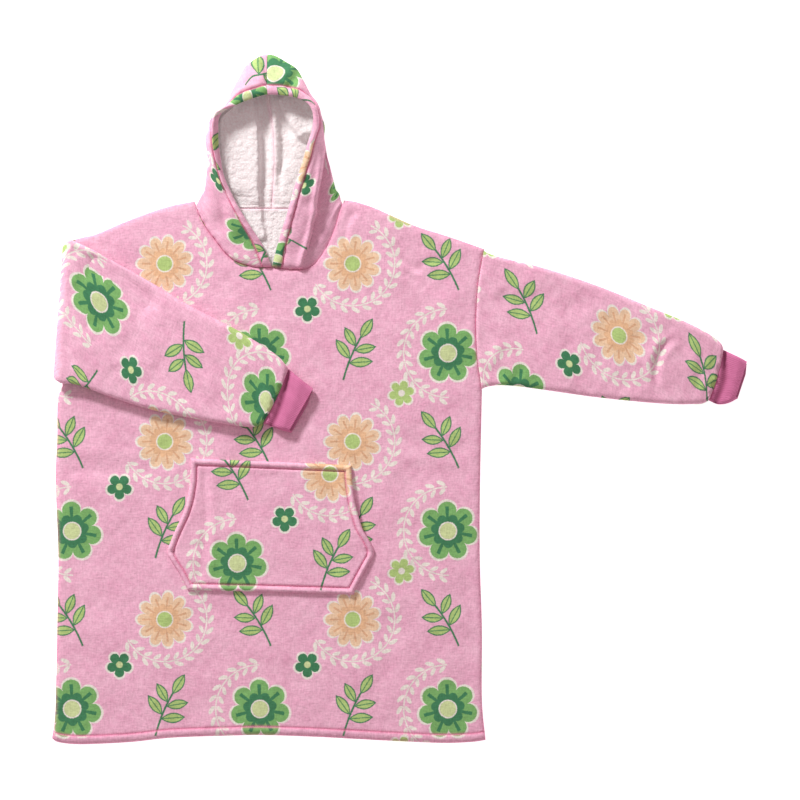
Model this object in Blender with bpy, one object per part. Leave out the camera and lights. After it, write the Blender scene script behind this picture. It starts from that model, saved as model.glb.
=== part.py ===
"""Oversized hoodie laid out flat on its back, built piece by piece as it is cut and sewn.

The tables are in millimetres and the meshes in metres. +X is the wearer's left, +Y points from the hem
to the hood and +Z points up from the floor that the garment lies on. The wearer's left sleeve lies
stretched out, and the right one is folded over the front at its armhole.
"""
import math

import bmesh
import bpy
import numpy as np

MM = 0.001
SEAM_GAP = 0.3

# The cloth is a printed fleece with a pile lining, so one layer of the body is thick.
PANEL_WALL = 6.0
FRONT_BASE = PANEL_WALL + SEAM_GAP
FRONT_TOP = FRONT_BASE + PANEL_WALL
POCKET_BASE = FRONT_TOP + SEAM_GAP
HOOD_WALL = 2.5
LINING_WALL = 3.0
NECK_LINING_WALL = 3.0
CUFF_WALL = 3.2

# How far an edge rolls down, and over what width.
ROLL_DEPTH = 5.0
ROLL_WIDTH = 12.0
UNDER_ROLL = 2.0

# The body's straight reference sides, and how far in from a side its curve still moves the columns.
RIGHT_X = -651.0
LEFT_X = 155.0
SIDE_REACH = 230.0
# The share of a panel's height at which the armholes begin, where its rows lie closer.
ARMHOLE_SHARE = 0.7155

# Armholes and side seams from the shoulder down: y, x.
RIGHT_ARMHOLE = ((303, -622), (30, -641))
RIGHT_SIDE = (
    (30, -641),
    (22, -641.4),
    (-1, -650),
    (-77, -651),
    (-153, -654),
    (-286, -649),
    (-381, -650),
    (-533, -653),
    (-600, -655),
    (-646, -661),
)
LEFT_ARMHOLE = ((286, 161), (218, 150), (142, 146), (75, 149), (18, 157))
LEFT_SIDE = (
    (18, 157),
    (-77, 155),
    (-191, 153),
    (-305, 153),
    (-438, 157),
    (-571, 157),
    (-648, 164),
)

# Hem: x, y.
HEM = (
    (-661, -644),
    (-650, -651),
    (-622, -655),
    (-584, -655),
    (-508, -651),
    (-432, -643),
    (-318, -639),
    (-261, -638),
    (-166, -641),
    (-90, -645),
    (-14, -649),
    (81, -653),
    (138, -651),
    (165, -647),
)

# Shoulder seams from the armhole to the neck: x, y.
RIGHT_SHOULDER = ((-622, 303), (-599, 309), (-577, 314), (-523, 337), (-470, 357), (-430, 369), (-389, 377))
LEFT_SHOULDER = ((161, 286), (96, 309), (30, 330), (-20, 352), (-52, 366), (-84, 376), (-106, 379))

# Front neck seam from the centre front to the shoulder: distance from the centre line, y.
RIGHT_NECK = ((0, 251), (31, 251), (54, 257), (73, 265), (90, 279), (109, 304), (127, 328), (139, 352), (145, 371))
LEFT_NECK = ((0, 251), (26, 248), (54, 247), (71, 251), (87, 264), (104, 290), (120, 327), (129, 359), (134, 372))
BACK_NECK_Y = 362.0

# The garment's centre line, from the front neck over the crown of the hood: y, x.
CENTRE_LINE = ((250, -242), (375, -242), (450, -238), (510, -240), (560, -248), (600, -252), (656, -251))

# Soft folds of the front: start x, start y, end x, end y, sideways bend, width, height.
FRONT_FOLDS = (
    (-640, -118, -440, -124, -6, 26, -2.2),
    (-640, -160, -430, -170, 5, 40, 1.6),
    (-10, -76, 130, -95, -10, 30, -2.0),
    (10, -128, 140, -140, -10, 34, 1.8),
    (-60, -400, -20, -520, 16, 36, -2.0),
    (-10, 300, 90, 205, -14, 30, -2.2),
    (-70, 345, 0, 225, -10, 34, 1.8),
    (-600, -430, -430, -560, 20, 60, 1.6),
    (20, -330, 110, -560, 18, 60, -1.4),
    (-560, -250, -500, -400, -14, 50, -1.4),
)
# Where the front lies pressed flat, under the folded sleeve and the pocket: x from, x to, y from, y to.
PRESSED = ((-700, -150, -75, 300), (-455, -35, -385, -100))
PRESSED_FADE = 30.0

# Hem band of the front: distance from the hem, extra height.
HEM_BAND = ((0, -0.6), (2.5, 0.8), (7, 1.4), (14, 1.2), (17.5, -1.4), (22, 0.2), (30, 0))

# The stretched sleeve from armhole to cuff: upper edge x, y, lower edge x, y, height, wall.
LEFT_SLEEVE = (
    (161, 285, 157, 19, 14, 5.4),
    (223, 265, 201, 27, 15, 5.9),
    (307, 240, 276, 18, 17, 6.9),
    (390, 211, 360, 6, 18, 7.4),
    (478, 175, 451, -4, 19, 7.9),
    (541, 149, 518, -9, 19, 7.9),
    (588, 125, 554, -9, 18, 7.4),
    (611, 107, 575, -8, 15, 5.9),
    (616, 94, 588, -2, 10.5, 3.7),
)
# The same for the folded one, from the top of its fold, with the height of its two edges off the floor.
RIGHT_SLEEVE = (
    (-622, 303, -641, 31, 14, 5.4, 20.0, 20.0),
    (-577, 281, -609, 27, 15, 5.9, 18.0, 20.5),
    (-481, 228, -542, 3, 16, 6.4, 13.6, 17.0),
    (-395, 177, -464, -21, 17, 6.9, 13.3, 13.6),
    (-312, 134, -364, -41, 18, 7.4, 13.3, 13.3),
    (-250, 96, -309, -50, 18, 7.4, 13.3, 13.3),
    (-225, 77, -276, -52, 15, 5.9, 13.6, 13.6),
    (-211, 58, -259, -45, 11, 3.9, 14.0, 14.0),
)
# The fold goes round an axis at the armhole, in steps, and its two ends draw in.
FOLD_AXIS_Z = 17.0
FOLD_STEPS = 8
FOLD_END_PULL = (9.0, 5.0)

# Soft folds of the sleeves' upper side, with the columns of the front's.
LEFT_SLEEVE_FOLDS = (
    (512, 112, 488, 34, -10, 15, -2.6),
    (492, 120, 466, 40, -12, 17, 1.6),
    (190, 210, 262, 120, 8, 24, -1.8),
    (215, 90, 330, 50, 8, 30, 1.6),
    (300, 210, 420, 120, 10, 34, -1.6),
    (560, 110, 540, 20, 6, 16, 1.6),
)
RIGHT_SLEEVE_FOLDS = (
    (-590, 262, -470, 150, 10, 36, -2.8),
    (-600, 120, -540, 60, -10, 30, 1.8),
    (-560, 215, -520, 90, -14, 24, -1.6),
    (-440, 160, -330, 60, 10, 34, 1.8),
    (-300, 90, -270, -20, 8, 18, -2.2),
    (-275, 96, -245, -20, 8, 14, 1.4),
)

# Ribbed cuffs from seam to mouth: upper edge x, y, lower edge x, y, height, height off the floor.
LEFT_CUFF = (
    (616.4, 94, 588.4, -2, 9.6, 0),
    (630, 88, 605, -9, 9.6, 0),
    (647, 80, 623, -7, 9.2, 0),
    (660.6, 72.5, 637, 2, 9.0, 0),
)
RIGHT_CUFF = (
    (-210.4, 57.6, -258.6, -45.3, 9.6, 14.2),
    (-196, 46, -243, -51, 9.8, 14.2),
    (-180, 33, -227, -57, 10.0, 14.0),
    (-164, 21, -211, -61, 10.2, 13.8),
)

# Outline of the pocket, upwards: y, left x, right x.
POCKET_SIDES = (
    (-372, -402, -86),
    (-361, -403, -84),
    (-328, -420, -67),
    (-308, -433, -56),
    (-290, -441, -48),
    (-270, -435, -56),
    (-248, -426, -69),
    (-220, -413, -78),
    (-191, -404, -85),
    (-153, -398, -90),
    (-113, -397, -92),
)
POCKET_BOTTOM = ((-402, -362), (-244, -366), (-86, -371))
POCKET_TOP = ((-397, -112), (-244, -118), (-92, -125))
# The pocket's turned band, all round: distance from the edge, thickness.
POCKET_BAND = ((0, 2.2), (1.5, 4.6), (4.5, 6.4), (9, 6.0), (12, 4.4), (14, 3.0), (18, 3.4), (26, 3.6))

# Each half of the hood, from the neck seam to the crown seam. Five points cross it from the opening
# over the side to the seam at the back of the head: distance from the centre line, y, height.
RIGHT_HOOD = (
    ((18, 293, 22), (76, 311, 21), (137, 383, 10), (88, 379, 0), (0, 381, 0)),
    ((44, 333, 30), (88, 354, 29), (130, 398, 13), (85, 400, 0), (0, 402, 0)),
    ((69, 375, 38), (102, 398, 35), (127, 426, 16), (85, 430, 0), (0, 432, 0)),
    ((96, 432, 45), (115, 449, 40), (126, 464, 18), (83, 470, 0), (0, 474, 0)),
    ((104, 497, 48), (117, 501, 42), (126, 504, 18), (82, 512, 0), (0, 516, 0)),
    ((95, 539, 48), (105, 539, 41), (113, 533, 18), (75, 538, 0), (0, 542, 0)),
    ((63, 557, 47), (71, 563, 40), (81, 562, 17), (58, 556, 0), (0, 558, 0)),
    ((39, 567, 46), (46, 592, 37), (57, 604, 16), (36, 577, 0), (0, 571, 0)),
    ((21, 573, 44), (25, 611, 35), (35, 638, 15), (19, 605, 0), (0, 588, 0)),
    ((0, 578, 43), (0, 615, 33), (0, 655.4, 14), (0, 634, 0), (0, 611, 0)),
)
LEFT_HOOD = (
    ((8, 284, 21), (62, 303, 25), (127, 386, 10), (83, 379, 0), (0, 381, 0)),
    ((20, 324, 29), (68, 349, 33), (119, 398, 13), (78, 400, 0), (0, 402, 0)),
    ((32, 362, 36), (73, 388, 38), (113, 421, 16), (73, 426, 0), (0, 432, 0)),
    ((46, 419, 43), (75, 436, 41), (102, 459, 18), (65, 468, 0), (0, 474, 0)),
    ((62, 474, 47), (80, 485, 42), (97, 497, 18), (61, 510, 0), (0, 516, 0)),
    ((80, 529, 48), (89, 532, 41), (97, 532, 18), (62, 538, 0), (0, 542, 0)),
    ((77, 557, 47), (83, 561, 40), (90, 565, 17), (59, 557, 0), (0, 558, 0)),
    ((58, 570, 45), (67, 584, 37), (75, 592, 16), (48, 574, 0), (0, 571, 0)),
    ((32, 576, 44), (46, 607, 35), (54, 629, 15), (31, 603, 0), (0, 588, 0)),
    ((0, 578, 43), (0, 615, 33), (0, 655.4, 14), (0, 634, 0), (0, 611, 0)),
)
# The neck seam's height along the front, and its way back under the head: distance, y, height.
NECK_HEIGHTS = (16, 16, 16, 16, 16, 16, 15.5, 14, 8)
RIGHT_BACK_NECK = ((145, 371, 8), (135, 367, 1), (118, 364, 0), (88, 362.8, 0), (45, 362.6, 0), (0, 362.6, 0))
LEFT_BACK_NECK = ((134, 372, 8), (125, 367, 1), (110, 364, 0), (83, 362.8, 0), (42, 362.6, 0), (0, 362.6, 0))
# Which way the hood's wall is thick, from the opening round to the back seam: share, degrees above level.
WALL_TURN = ((0, -78), (0.25, -64), (0.4, -40), (0.5, 0), (0.6, 52), (0.7, 86), (0.75, 90), (1, 90))
# Where the hood's grid has its columns, from the opening to the back seam, and its rows.
HOOD_COLUMNS = tuple(i / 16 for i in range(9)) + (0.55, 0.6, 0.7, 0.8, 0.9, 1.0)
HOOD_ROWS = (0, 0.5, 1, 2, 3, 4, 4.6, 5, 5.5, 6, 6.5, 7, 7.5, 8, 9, 10)

# Distances of a grid's lines from the edges of its piece, and how many lines lie between.
FRONT_EDGE_LINES = (0, 2, 6, 12)
FRONT_HEM_LINES = (0, 2.5, 7, 14, 17.5, 22)
FRONT_COLUMNS = 5
FRONT_ROWS = (9, 10)
BACK_EDGE_LINES = (0, 2, 8)
BACK_COLUMNS = 4
BACK_ROWS = (4, 10)
NECK_CORNER = 2.5
POCKET_LINES = (0, 1.5, 4.5, 9, 12, 14, 18)
POCKET_COLUMNS = 6
POCKET_ROWS = 7
SLEEVE_LINES = (0, 1.2, 4, 10)
SLEEVE_COLUMNS = 7
SLEEVE_ROUNDING = 0.62
LEFT_SLEEVE_ROWS = tuple(i / 2 for i in range(13)) + (7, 7.5, 8)
RIGHT_SLEEVE_ROWS = (0, 0.3, 0.65, 1, 1.5, 2, 2.5, 3, 3.5, 4, 4.5, 5, 5.5, 6, 6.5, 7)
CAP_ROWS = 1.6
NECK_LINING_ROWS = (0, 0.03, 0.25, 0.5, 0.75, 0.97, 1)
NECK_LINING_INSET = 4.0

# Colour, roughness of each cloth.
CLOTHS = {
    "printed_fleece": ((0.87, 0.40, 0.62, 1), 0.9),
    "sherpa_pile": ((0.86, 0.80, 0.80, 1), 1.0),
    "rib_knit": ((0.60, 0.15, 0.36, 1), 0.85),
}


def curve(points, places):
    """Points on a smooth curve through the given ones, at places counted in points."""
    points = np.asarray(points, float)
    places = np.clip(np.asarray(places, float), 0, len(points) - 1)
    first = np.minimum(places.astype(int), len(points) - 2)
    share = (places - first).reshape(places.shape + (1,) * (points.ndim - 1))
    ends = np.concatenate([[2 * points[0] - points[1]], points, [2 * points[-1] - points[-2]]])
    a, b, c, d = (ends[first + i] for i in range(4))
    bend = 2 * a - 5 * b + 4 * c - d
    return 0.5 * (2 * b + (c - a) * share + bend * share**2 + (3 * b - a - 3 * c + d) * share**3)


def graph(table, at, smooth=8):
    """The second column of a table where its first is at, along a smooth curve with rising steps."""
    table = np.asarray(table, float)
    dense = curve(table, np.linspace(0, len(table) - 1, smooth * (len(table) - 1) + 1))
    if dense[0, 0] > dense[-1, 0]:
        dense = dense[::-1]
    return np.interp(at, np.maximum.accumulate(dense[:, 0]), dense[:, 1])


def line(table, at):
    """The second column of a table where its first is at, in straight steps, for rows in any order."""
    table = np.asarray(sorted(table), float)
    return np.interp(at, table[:, 0], table[:, 1])


def centre_x(y):
    return line(CENTRE_LINE, y)


def side_x(armhole, side, y):
    """A body edge: the armhole above, the side seam below it."""
    return np.where(y > side[0][0], graph(armhole, y), graph(side, y))


def neck_points(side):
    """The front neck seam of one half as plan points, side -1 for the wearer's right."""
    table = np.asarray(RIGHT_NECK if side < 0 else LEFT_NECK, float)
    return np.column_stack([centre_x(table[:, 1]) + side * table[:, 0], table[:, 1]])


def cloth_material(kind):
    """The Principled material of a cloth, made once."""
    material = bpy.data.materials.get(kind)
    if material is None:
        colour, roughness = CLOTHS[kind]
        material = bpy.data.materials.new(kind)
        material.use_nodes = True
        shader = material.node_tree.nodes["Principled BSDF"]
        shader.inputs["Base Color"].default_value = colour
        shader.inputs["Roughness"].default_value = roughness
        shader.inputs["Metallic"].default_value = 0.0
    return material


def wall(name, outside, inside, cloth, around=False):
    """A closed solid between two grids of points; around joins the last column to the first."""
    rows, columns = outside.shape[:2]
    count = rows * columns
    points = np.vstack([outside.reshape(-1, 3), inside.reshape(-1, 3)]) * MM
    spans = columns if around else columns - 1
    faces = []

    def quad(a, b, c, d):
        faces.extend([(a, b, c), (a, c, d)])

    for r in range(rows - 1):
        for c in range(spans):
            a, b = r * columns + c, r * columns + (c + 1) % columns
            quad(a, b, b + columns, a + columns)
            faces.append((count + a, count + b + columns, count + b))
            faces.append((count + a, count + a + columns, count + b + columns))
    for r in (0, rows - 1):
        for c in range(spans):
            a, b = r * columns + c, r * columns + (c + 1) % columns
            quad(*((a, count + a, count + b, b) if r == 0 else (a, b, count + b, count + a)))
    if not around:
        for c in (0, columns - 1):
            for r in range(rows - 1):
                a, b = r * columns + c, (r + 1) * columns + c
                quad(*((a, b, count + b, count + a) if c == 0 else (a, count + a, count + b, b)))
    mesh = bpy.data.meshes.new(name)
    mesh.from_pydata(points.tolist(), [], faces)
    tidy = bmesh.new()
    tidy.from_mesh(mesh)
    bmesh.ops.recalc_face_normals(tidy, faces=tidy.faces)
    tidy.to_mesh(mesh)
    tidy.free()
    mesh.shade_smooth()
    mesh.set_sharp_from_angle(angle=math.radians(50))
    mesh.materials.append(cloth_material(cloth))
    piece = bpy.data.objects.new(name, mesh)
    bpy.data.collections["oversized_hoodie"].objects.link(piece)
    return piece


def roll(distance):
    """How far a cloth edge drops at a distance from it."""
    near = 1 - np.clip(distance / ROLL_WIDTH, 0, 1)
    return ROLL_DEPTH * (1 - np.sqrt(1 - near**2))


def fold_relief(folds, x, y):
    """Height of the soft folds at plan points."""
    height = np.zeros_like(x)
    for x0, y0, x1, y1, bend, width, rise in folds:
        length = math.hypot(x1 - x0, y1 - y0)
        along = ((x - x0) * (x1 - x0) + (y - y0) * (y1 - y0)) / length**2
        side = ((y - y0) * (x1 - x0) - (x - x0) * (y1 - y0)) / length
        side = side - bend * 4 * along * (1 - along)
        ends = np.clip(np.minimum(along, 1 - along) * 4 + 0.5, 0, 1)
        height += rise * np.exp(-((side / width) ** 2)) * ends
    return height


def pressed_share(x, y):
    """0 where something lies on the front, rising to 1 away from it."""
    share = np.ones_like(x)
    for x0, x1, y0, y1 in PRESSED:
        away = np.maximum(np.maximum(x0 - x, x - x1), np.maximum(y0 - y, y - y1))
        share = np.minimum(share, np.clip(away / PRESSED_FADE, 0, 1))
    return share


def even(start, end, count):
    """Evenly spaced numbers between two, without those two."""
    return list(np.linspace(start, end, count + 2)[1:-1])


def panel_plan(columns, rows, top_edge):
    """Plan points of a body panel, and each point's distance from its nearest edge."""
    columns = np.asarray(columns, float)
    near_right = np.clip(1 - (columns - RIGHT_X) / SIDE_REACH, 0, 1) ** 2
    near_left = np.clip(1 - (LEFT_X - columns) / SIDE_REACH, 0, 1) ** 2
    x = np.tile(columns, (len(rows), 1))
    y = np.zeros_like(x)
    from_hem, from_top, share = np.asarray(rows, float).T[:, :, None]
    for _ in range(4):
        low = graph(HEM, x)
        high = line(top_edge, x)
        y = (1 - share) * (low + from_hem) + share * (high - from_top)
        right_shift = side_x(RIGHT_ARMHOLE, RIGHT_SIDE, y) + SEAM_GAP / 2 - RIGHT_X
        left_shift = side_x(LEFT_ARMHOLE, LEFT_SIDE, y) - SEAM_GAP / 2 - LEFT_X
        x = columns + near_right * right_shift + near_left * left_shift
    sides = np.minimum(columns - RIGHT_X, LEFT_X - columns)
    edge = np.minimum(np.tile(sides, (len(rows), 1)), np.minimum(y - low, high - y))
    return x, y, np.maximum(edge, 0), y - low


def panel_rows(hem_offsets, low_rows, high_rows, top_offsets):
    """Rows of a panel as distance from the hem, distance from the top, share of the height."""
    rows = [(offset, 0, 0) for offset in hem_offsets]
    shares = even(0, ARMHOLE_SHARE, low_rows) + [ARMHOLE_SHARE] + even(ARMHOLE_SHARE, 1, high_rows)
    rows += [(hem_offsets[-1], top_offsets[0], share) for share in shares]
    return rows + [(0, offset, 1) for offset in top_offsets]


def front_height(x, y, edge, from_hem):
    """Height of the front's upper side."""
    folds = fold_relief(FRONT_FOLDS, x, y) * pressed_share(x, y)
    folds = folds * np.clip(edge / 25, 0, 1)
    return FRONT_TOP - roll(edge) + folds + line(HEM_BAND, from_hem)


def build_front():
    right, left = neck_points(-1)[::-1], neck_points(1)
    neck = np.vstack([right, left[1:]])
    top_edge = [tuple(p) for p in RIGHT_SHOULDER + LEFT_SHOULDER] + [tuple(p) for p in neck]
    inner, (right_neck, left_neck) = FRONT_EDGE_LINES[-1], neck[[0, -1], 0]
    columns = [RIGHT_X + offset for offset in FRONT_EDGE_LINES]
    columns += even(RIGHT_X + inner, right_neck, FRONT_COLUMNS) + [right_neck - NECK_CORNER]
    columns += list(neck[:, 0])
    columns += [left_neck + NECK_CORNER] + even(left_neck, LEFT_X - inner, FRONT_COLUMNS)
    columns += [LEFT_X - offset for offset in reversed(FRONT_EDGE_LINES)]
    rows = panel_rows(FRONT_HEM_LINES, *FRONT_ROWS, FRONT_EDGE_LINES[::-1])
    x, y, edge, from_hem = panel_plan(columns, rows, top_edge)
    top = np.dstack([x, y, front_height(x, y, edge, from_hem)])
    base = np.dstack([x, y, np.full_like(x, FRONT_BASE)])
    return wall("front_panel", top, base, "printed_fleece")


def build_back():
    right_neck, left_neck = RIGHT_SHOULDER[-1][0], LEFT_SHOULDER[-1][0]
    corners = (right_neck + 1, left_neck - 1)
    top_edge = [tuple(p) for p in RIGHT_SHOULDER + LEFT_SHOULDER]
    top_edge += [(corner, BACK_NECK_Y) for corner in corners]
    inner = BACK_EDGE_LINES[-1]
    columns = [RIGHT_X + offset for offset in BACK_EDGE_LINES]
    columns += even(RIGHT_X + inner, right_neck, BACK_COLUMNS) + [right_neck - NECK_CORNER]
    columns += list(np.linspace(*corners, BACK_COLUMNS + 1))
    columns += [left_neck + NECK_CORNER] + even(left_neck, LEFT_X - inner, BACK_COLUMNS)
    columns += [LEFT_X - offset for offset in reversed(BACK_EDGE_LINES)]
    rows = panel_rows(BACK_EDGE_LINES, *BACK_ROWS, BACK_EDGE_LINES[::-1])
    x, y, edge, _ = panel_plan(columns, rows, top_edge)
    lift = UNDER_ROLL * (1 - np.clip(edge / BACK_EDGE_LINES[1], 0, 1))
    top = np.dstack([x, y, np.full_like(x, PANEL_WALL)])
    base = np.dstack([x, y, lift])
    return wall("back_panel", top, base, "printed_fleece")


def section(upper, lower, height, thickness):
    """Outside and inside loops round a flattened tube: place across, height from its underside."""
    width = math.dist(upper, lower)
    inner = SLEEVE_LINES[-1]
    across = list(SLEEVE_LINES) + even(inner, width - inner, SLEEVE_COLUMNS)
    across = np.asarray(across + [width - offset for offset in reversed(SLEEVE_LINES)])

    def loop(places, inset, rise):
        near = np.clip(np.minimum(places, width - places) - inset, 0, None)
        near = np.clip(near / (SLEEVE_ROUNDING * rise), 0, 1)
        half = rise / 2 * np.sqrt(1 - (1 - near) ** 2)
        upside = np.column_stack([places, height / 2 + half])
        return np.vstack([upside, np.column_stack([places, height / 2 - half])[-2:0:-1]])

    inside = thickness + across * (width - 2 * thickness) / width
    return loop(across, 0, height), loop(inside, thickness, height - 2 * thickness)


def lay(loop, upper, lower):
    """Plan points and heights of a section's loop between its two ends, and the share across."""
    upper, lower = np.asarray(upper, float), np.asarray(lower, float)
    share = loop[:, 0] / np.linalg.norm(lower - upper)
    plan = upper + (lower - upper) * share[:, None]
    return np.column_stack([plan, loop[:, 1]]), share


def crease(points, height, lift, folds):
    """Sinks and raises the upper side of a section by its folds."""
    upper_side = np.clip(2 * (points[:, 2] - lift) / height - 1, 0, 1)
    points[:, 2] += fold_relief(folds, points[:, 0], points[:, 1]) * upper_side


def build_left_sleeve():
    outside, inside = [], []
    for place in LEFT_SLEEVE_ROWS:
        ux, uy, lx, ly, height, thickness = curve(LEFT_SLEEVE, place)
        cap = max(0, 1 - place / CAP_ROWS) ** 2
        for loop, rings in zip(section((ux, uy), (lx, ly), height, thickness), (outside, inside)):
            points, _ = lay(loop, (ux, uy), (lx, ly))
            seam = graph(LEFT_ARMHOLE, points[:, 1]) + SEAM_GAP / 2
            points[:, 0] += cap * (seam - points[:, 0])
            if rings is outside:
                crease(points, height, 0, LEFT_SLEEVE_FOLDS)
            rings.append(points)
    return wall("left_sleeve", np.array(outside), np.array(inside), "printed_fleece", around=True)


def build_right_sleeve():
    ux, uy, lx, ly, height, thickness = RIGHT_SLEEVE[0][:6]
    upper, lower = np.array([ux, uy], float), np.array([lx, ly], float)
    along = (lower - upper) / np.linalg.norm(lower - upper)
    outward = np.array([along[1], -along[0]])
    upper, lower = upper + SEAM_GAP / 2 * outward, lower + SEAM_GAP / 2 * outward
    outside, inside = [], []
    for step in range(FOLD_STEPS):
        angle = math.pi * step / FOLD_STEPS
        upper_pull, lower_pull = np.multiply(FOLD_END_PULL, math.sin(angle) ** 2)
        ends = upper + along * upper_pull, lower - along * lower_pull
        for loop, rings in zip(section(*ends, height, thickness), (outside, inside)):
            points, _ = lay(loop, *ends)
            radius = FOLD_AXIS_Z - points[:, 2]
            plan = points[:, :2] + outward * (radius * math.sin(angle))[:, None]
            rings.append(np.column_stack([plan, FOLD_AXIS_Z - radius * math.cos(angle)]))
    for place in RIGHT_SLEEVE_ROWS:
        ux, uy, lx, ly, height, thickness, lift_upper, lift_lower = curve(RIGHT_SLEEVE, place)
        for loop, rings in zip(section((ux, uy), (lx, ly), height, thickness), (outside, inside)):
            points, share = lay(loop, (ux, uy), (lx, ly))
            lift = lift_upper + (lift_lower - lift_upper) * share
            points[:, 2] = height - points[:, 2] + lift
            if rings is outside:
                crease(points, height, lift, RIGHT_SLEEVE_FOLDS)
            rings.append(points)
    return wall("right_sleeve", np.array(outside), np.array(inside), "printed_fleece", around=True)


def build_cuff(name, table):
    outside, inside = [], []
    for ux, uy, lx, ly, height, lift in table:
        for loop, rings in zip(section((ux, uy), (lx, ly), height, CUFF_WALL), (outside, inside)):
            points, _ = lay(loop, (ux, uy), (lx, ly))
            points[:, 2] += lift
            rings.append(points)
    return wall(name, np.array(outside), np.array(inside), "rib_knit", around=True)


def banded_lines(count):
    """Grid lines of a banded piece: distance from the first edge, from the last edge, share between."""
    inner = POCKET_LINES[-1]
    lines = [(offset, 0, 0) for offset in POCKET_LINES]
    lines += [(inner, inner, share) for share in even(0, 1, count)]
    return np.array(lines + [(0, offset, 1) for offset in reversed(POCKET_LINES)], float)


def build_pocket():
    sides = np.asarray(POCKET_SIDES, float)
    from_right, from_left, across = banded_lines(POCKET_COLUMNS).T[:, None, :]
    from_low, from_high, up = banded_lines(POCKET_ROWS).T[:, :, None]
    x = across * POCKET_TOP[-1][0] + (1 - across) * POCKET_TOP[0][0] + 0 * up
    for _ in range(6):
        low, high = graph(POCKET_BOTTOM, x), graph(POCKET_TOP, x)
        y = (1 - up) * (low + from_low) + up * (high - from_high)
        right, left = graph(sides[:, [0, 1]], y), graph(sides[:, [0, 2]], y)
        x = (1 - across) * (right + from_right) + across * (left - from_left)
    edge = np.minimum(np.minimum(x - right, left - x), np.minimum(y - low, high - y))
    top = np.dstack([x, y, POCKET_BASE + line(POCKET_BAND, edge)])
    base = np.dstack([x, y, np.full_like(x, POCKET_BASE)])
    return wall("pocket", top, base, "printed_fleece")


def neck_row(side, columns):
    """The hood's neck seam, from the centre front round to the centre back: distance, y, height."""
    table = np.asarray(RIGHT_NECK if side < 0 else LEFT_NECK, float)
    steps = np.gradient(table, axis=0)
    normal = np.column_stack([-steps[:, 1], steps[:, 0]])
    normal = normal / np.linalg.norm(normal, axis=1)[:, None]
    front = np.column_stack([table + SEAM_GAP * normal, NECK_HEIGHTS])
    front[0] = (0, table[0, 1] + SEAM_GAP, NECK_HEIGHTS[0])
    back = np.asarray(RIGHT_BACK_NECK if side < 0 else LEFT_BACK_NECK, float)
    back[0] = front[-1]
    columns = np.asarray(columns)
    return np.where(
        (columns <= 0.5)[:, None],
        curve(front, columns * 2 * (len(front) - 1)),
        curve(back, (columns - 0.5) * 2 * (len(back) - 1)),
    )


def hood_grid(side, depth, columns, rows):
    """Points of one half of the hood at a depth into its wall."""
    table = np.asarray(RIGHT_HOOD if side < 0 else LEFT_HOOD, float)
    crossing = [neck_row(side, columns)]
    crossing += [curve(points, np.asarray(columns) * 4) for points in table]
    inward = [(-1.0, 0.0)]
    for points in table:
        step = points[3, :2] - points[2, :2]
        inward.append(tuple(step / np.linalg.norm(step)))
    surface = curve(crossing, rows)
    direction = curve(inward, rows)
    direction = direction / np.linalg.norm(direction, axis=1)[:, None]
    angle = np.radians(line(WALL_TURN, columns))
    grid = surface.copy()
    grid[:, :, :2] += depth * direction[:, None, :] * np.cos(angle)[None, :, None]
    grid[:, :, 2] = np.maximum(surface[:, :, 2], 0) + depth * np.sin(angle)
    distance = np.maximum(grid[:, :, 0], 0) + SEAM_GAP / 2
    x = centre_x(grid[:, :, 1]) + side * distance
    return np.dstack([x, grid[:, :, 1], grid[:, :, 2]])


def build_hood(side, name):
    lining = HOOD_WALL + SEAM_GAP
    depths = (0, HOOD_WALL, lining, lining + LINING_WALL)
    layers = [hood_grid(side, depth, HOOD_COLUMNS, HOOD_ROWS) for depth in depths]
    wall(f"{name}_hood", *layers[:2], "printed_fleece")
    wall(f"{name}_hood_lining", *layers[2:], "sherpa_pile")


def build_neck_lining():
    """The pile inside the back, which shows through the open neck."""
    neck = np.vstack([neck_points(-1)[5:0:-1], neck_points(1)[:6]])
    shares = np.array(NECK_LINING_ROWS)[:, None]
    y = (neck[:, 1] + NECK_LINING_INSET) * (1 - shares) + (BACK_NECK_Y - SEAM_GAP) * shares
    x = np.tile(neck[:, 0], (len(shares), 1))
    base = np.dstack([x, y, np.full_like(x, FRONT_BASE)])
    top = np.dstack([x, y, np.full_like(x, FRONT_BASE + NECK_LINING_WALL)])
    return wall("back_lining", top, base, "sherpa_pile")


def main():
    for item in list(bpy.data.objects):
        bpy.data.objects.remove(item, do_unlink=True)
    collection = bpy.data.collections.new("oversized_hoodie")
    bpy.context.scene.collection.children.link(collection)
    build_back()
    build_front()
    build_left_sleeve()
    build_right_sleeve()
    build_cuff("left_cuff", LEFT_CUFF)
    build_cuff("right_cuff", RIGHT_CUFF)
    build_pocket()
    build_hood(-1, "right")
    build_hood(1, "left")
    build_neck_lining()


main()
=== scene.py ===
"""Looks of the oversized hoodie: every cut piece as fine cloth in the place of its solid.

The tables are in millimetres and the meshes in metres. +X is the wearer's left, +Y points from the hem
to the hood and +Z up from the floor that the garment lies on.
"""
import math

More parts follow.
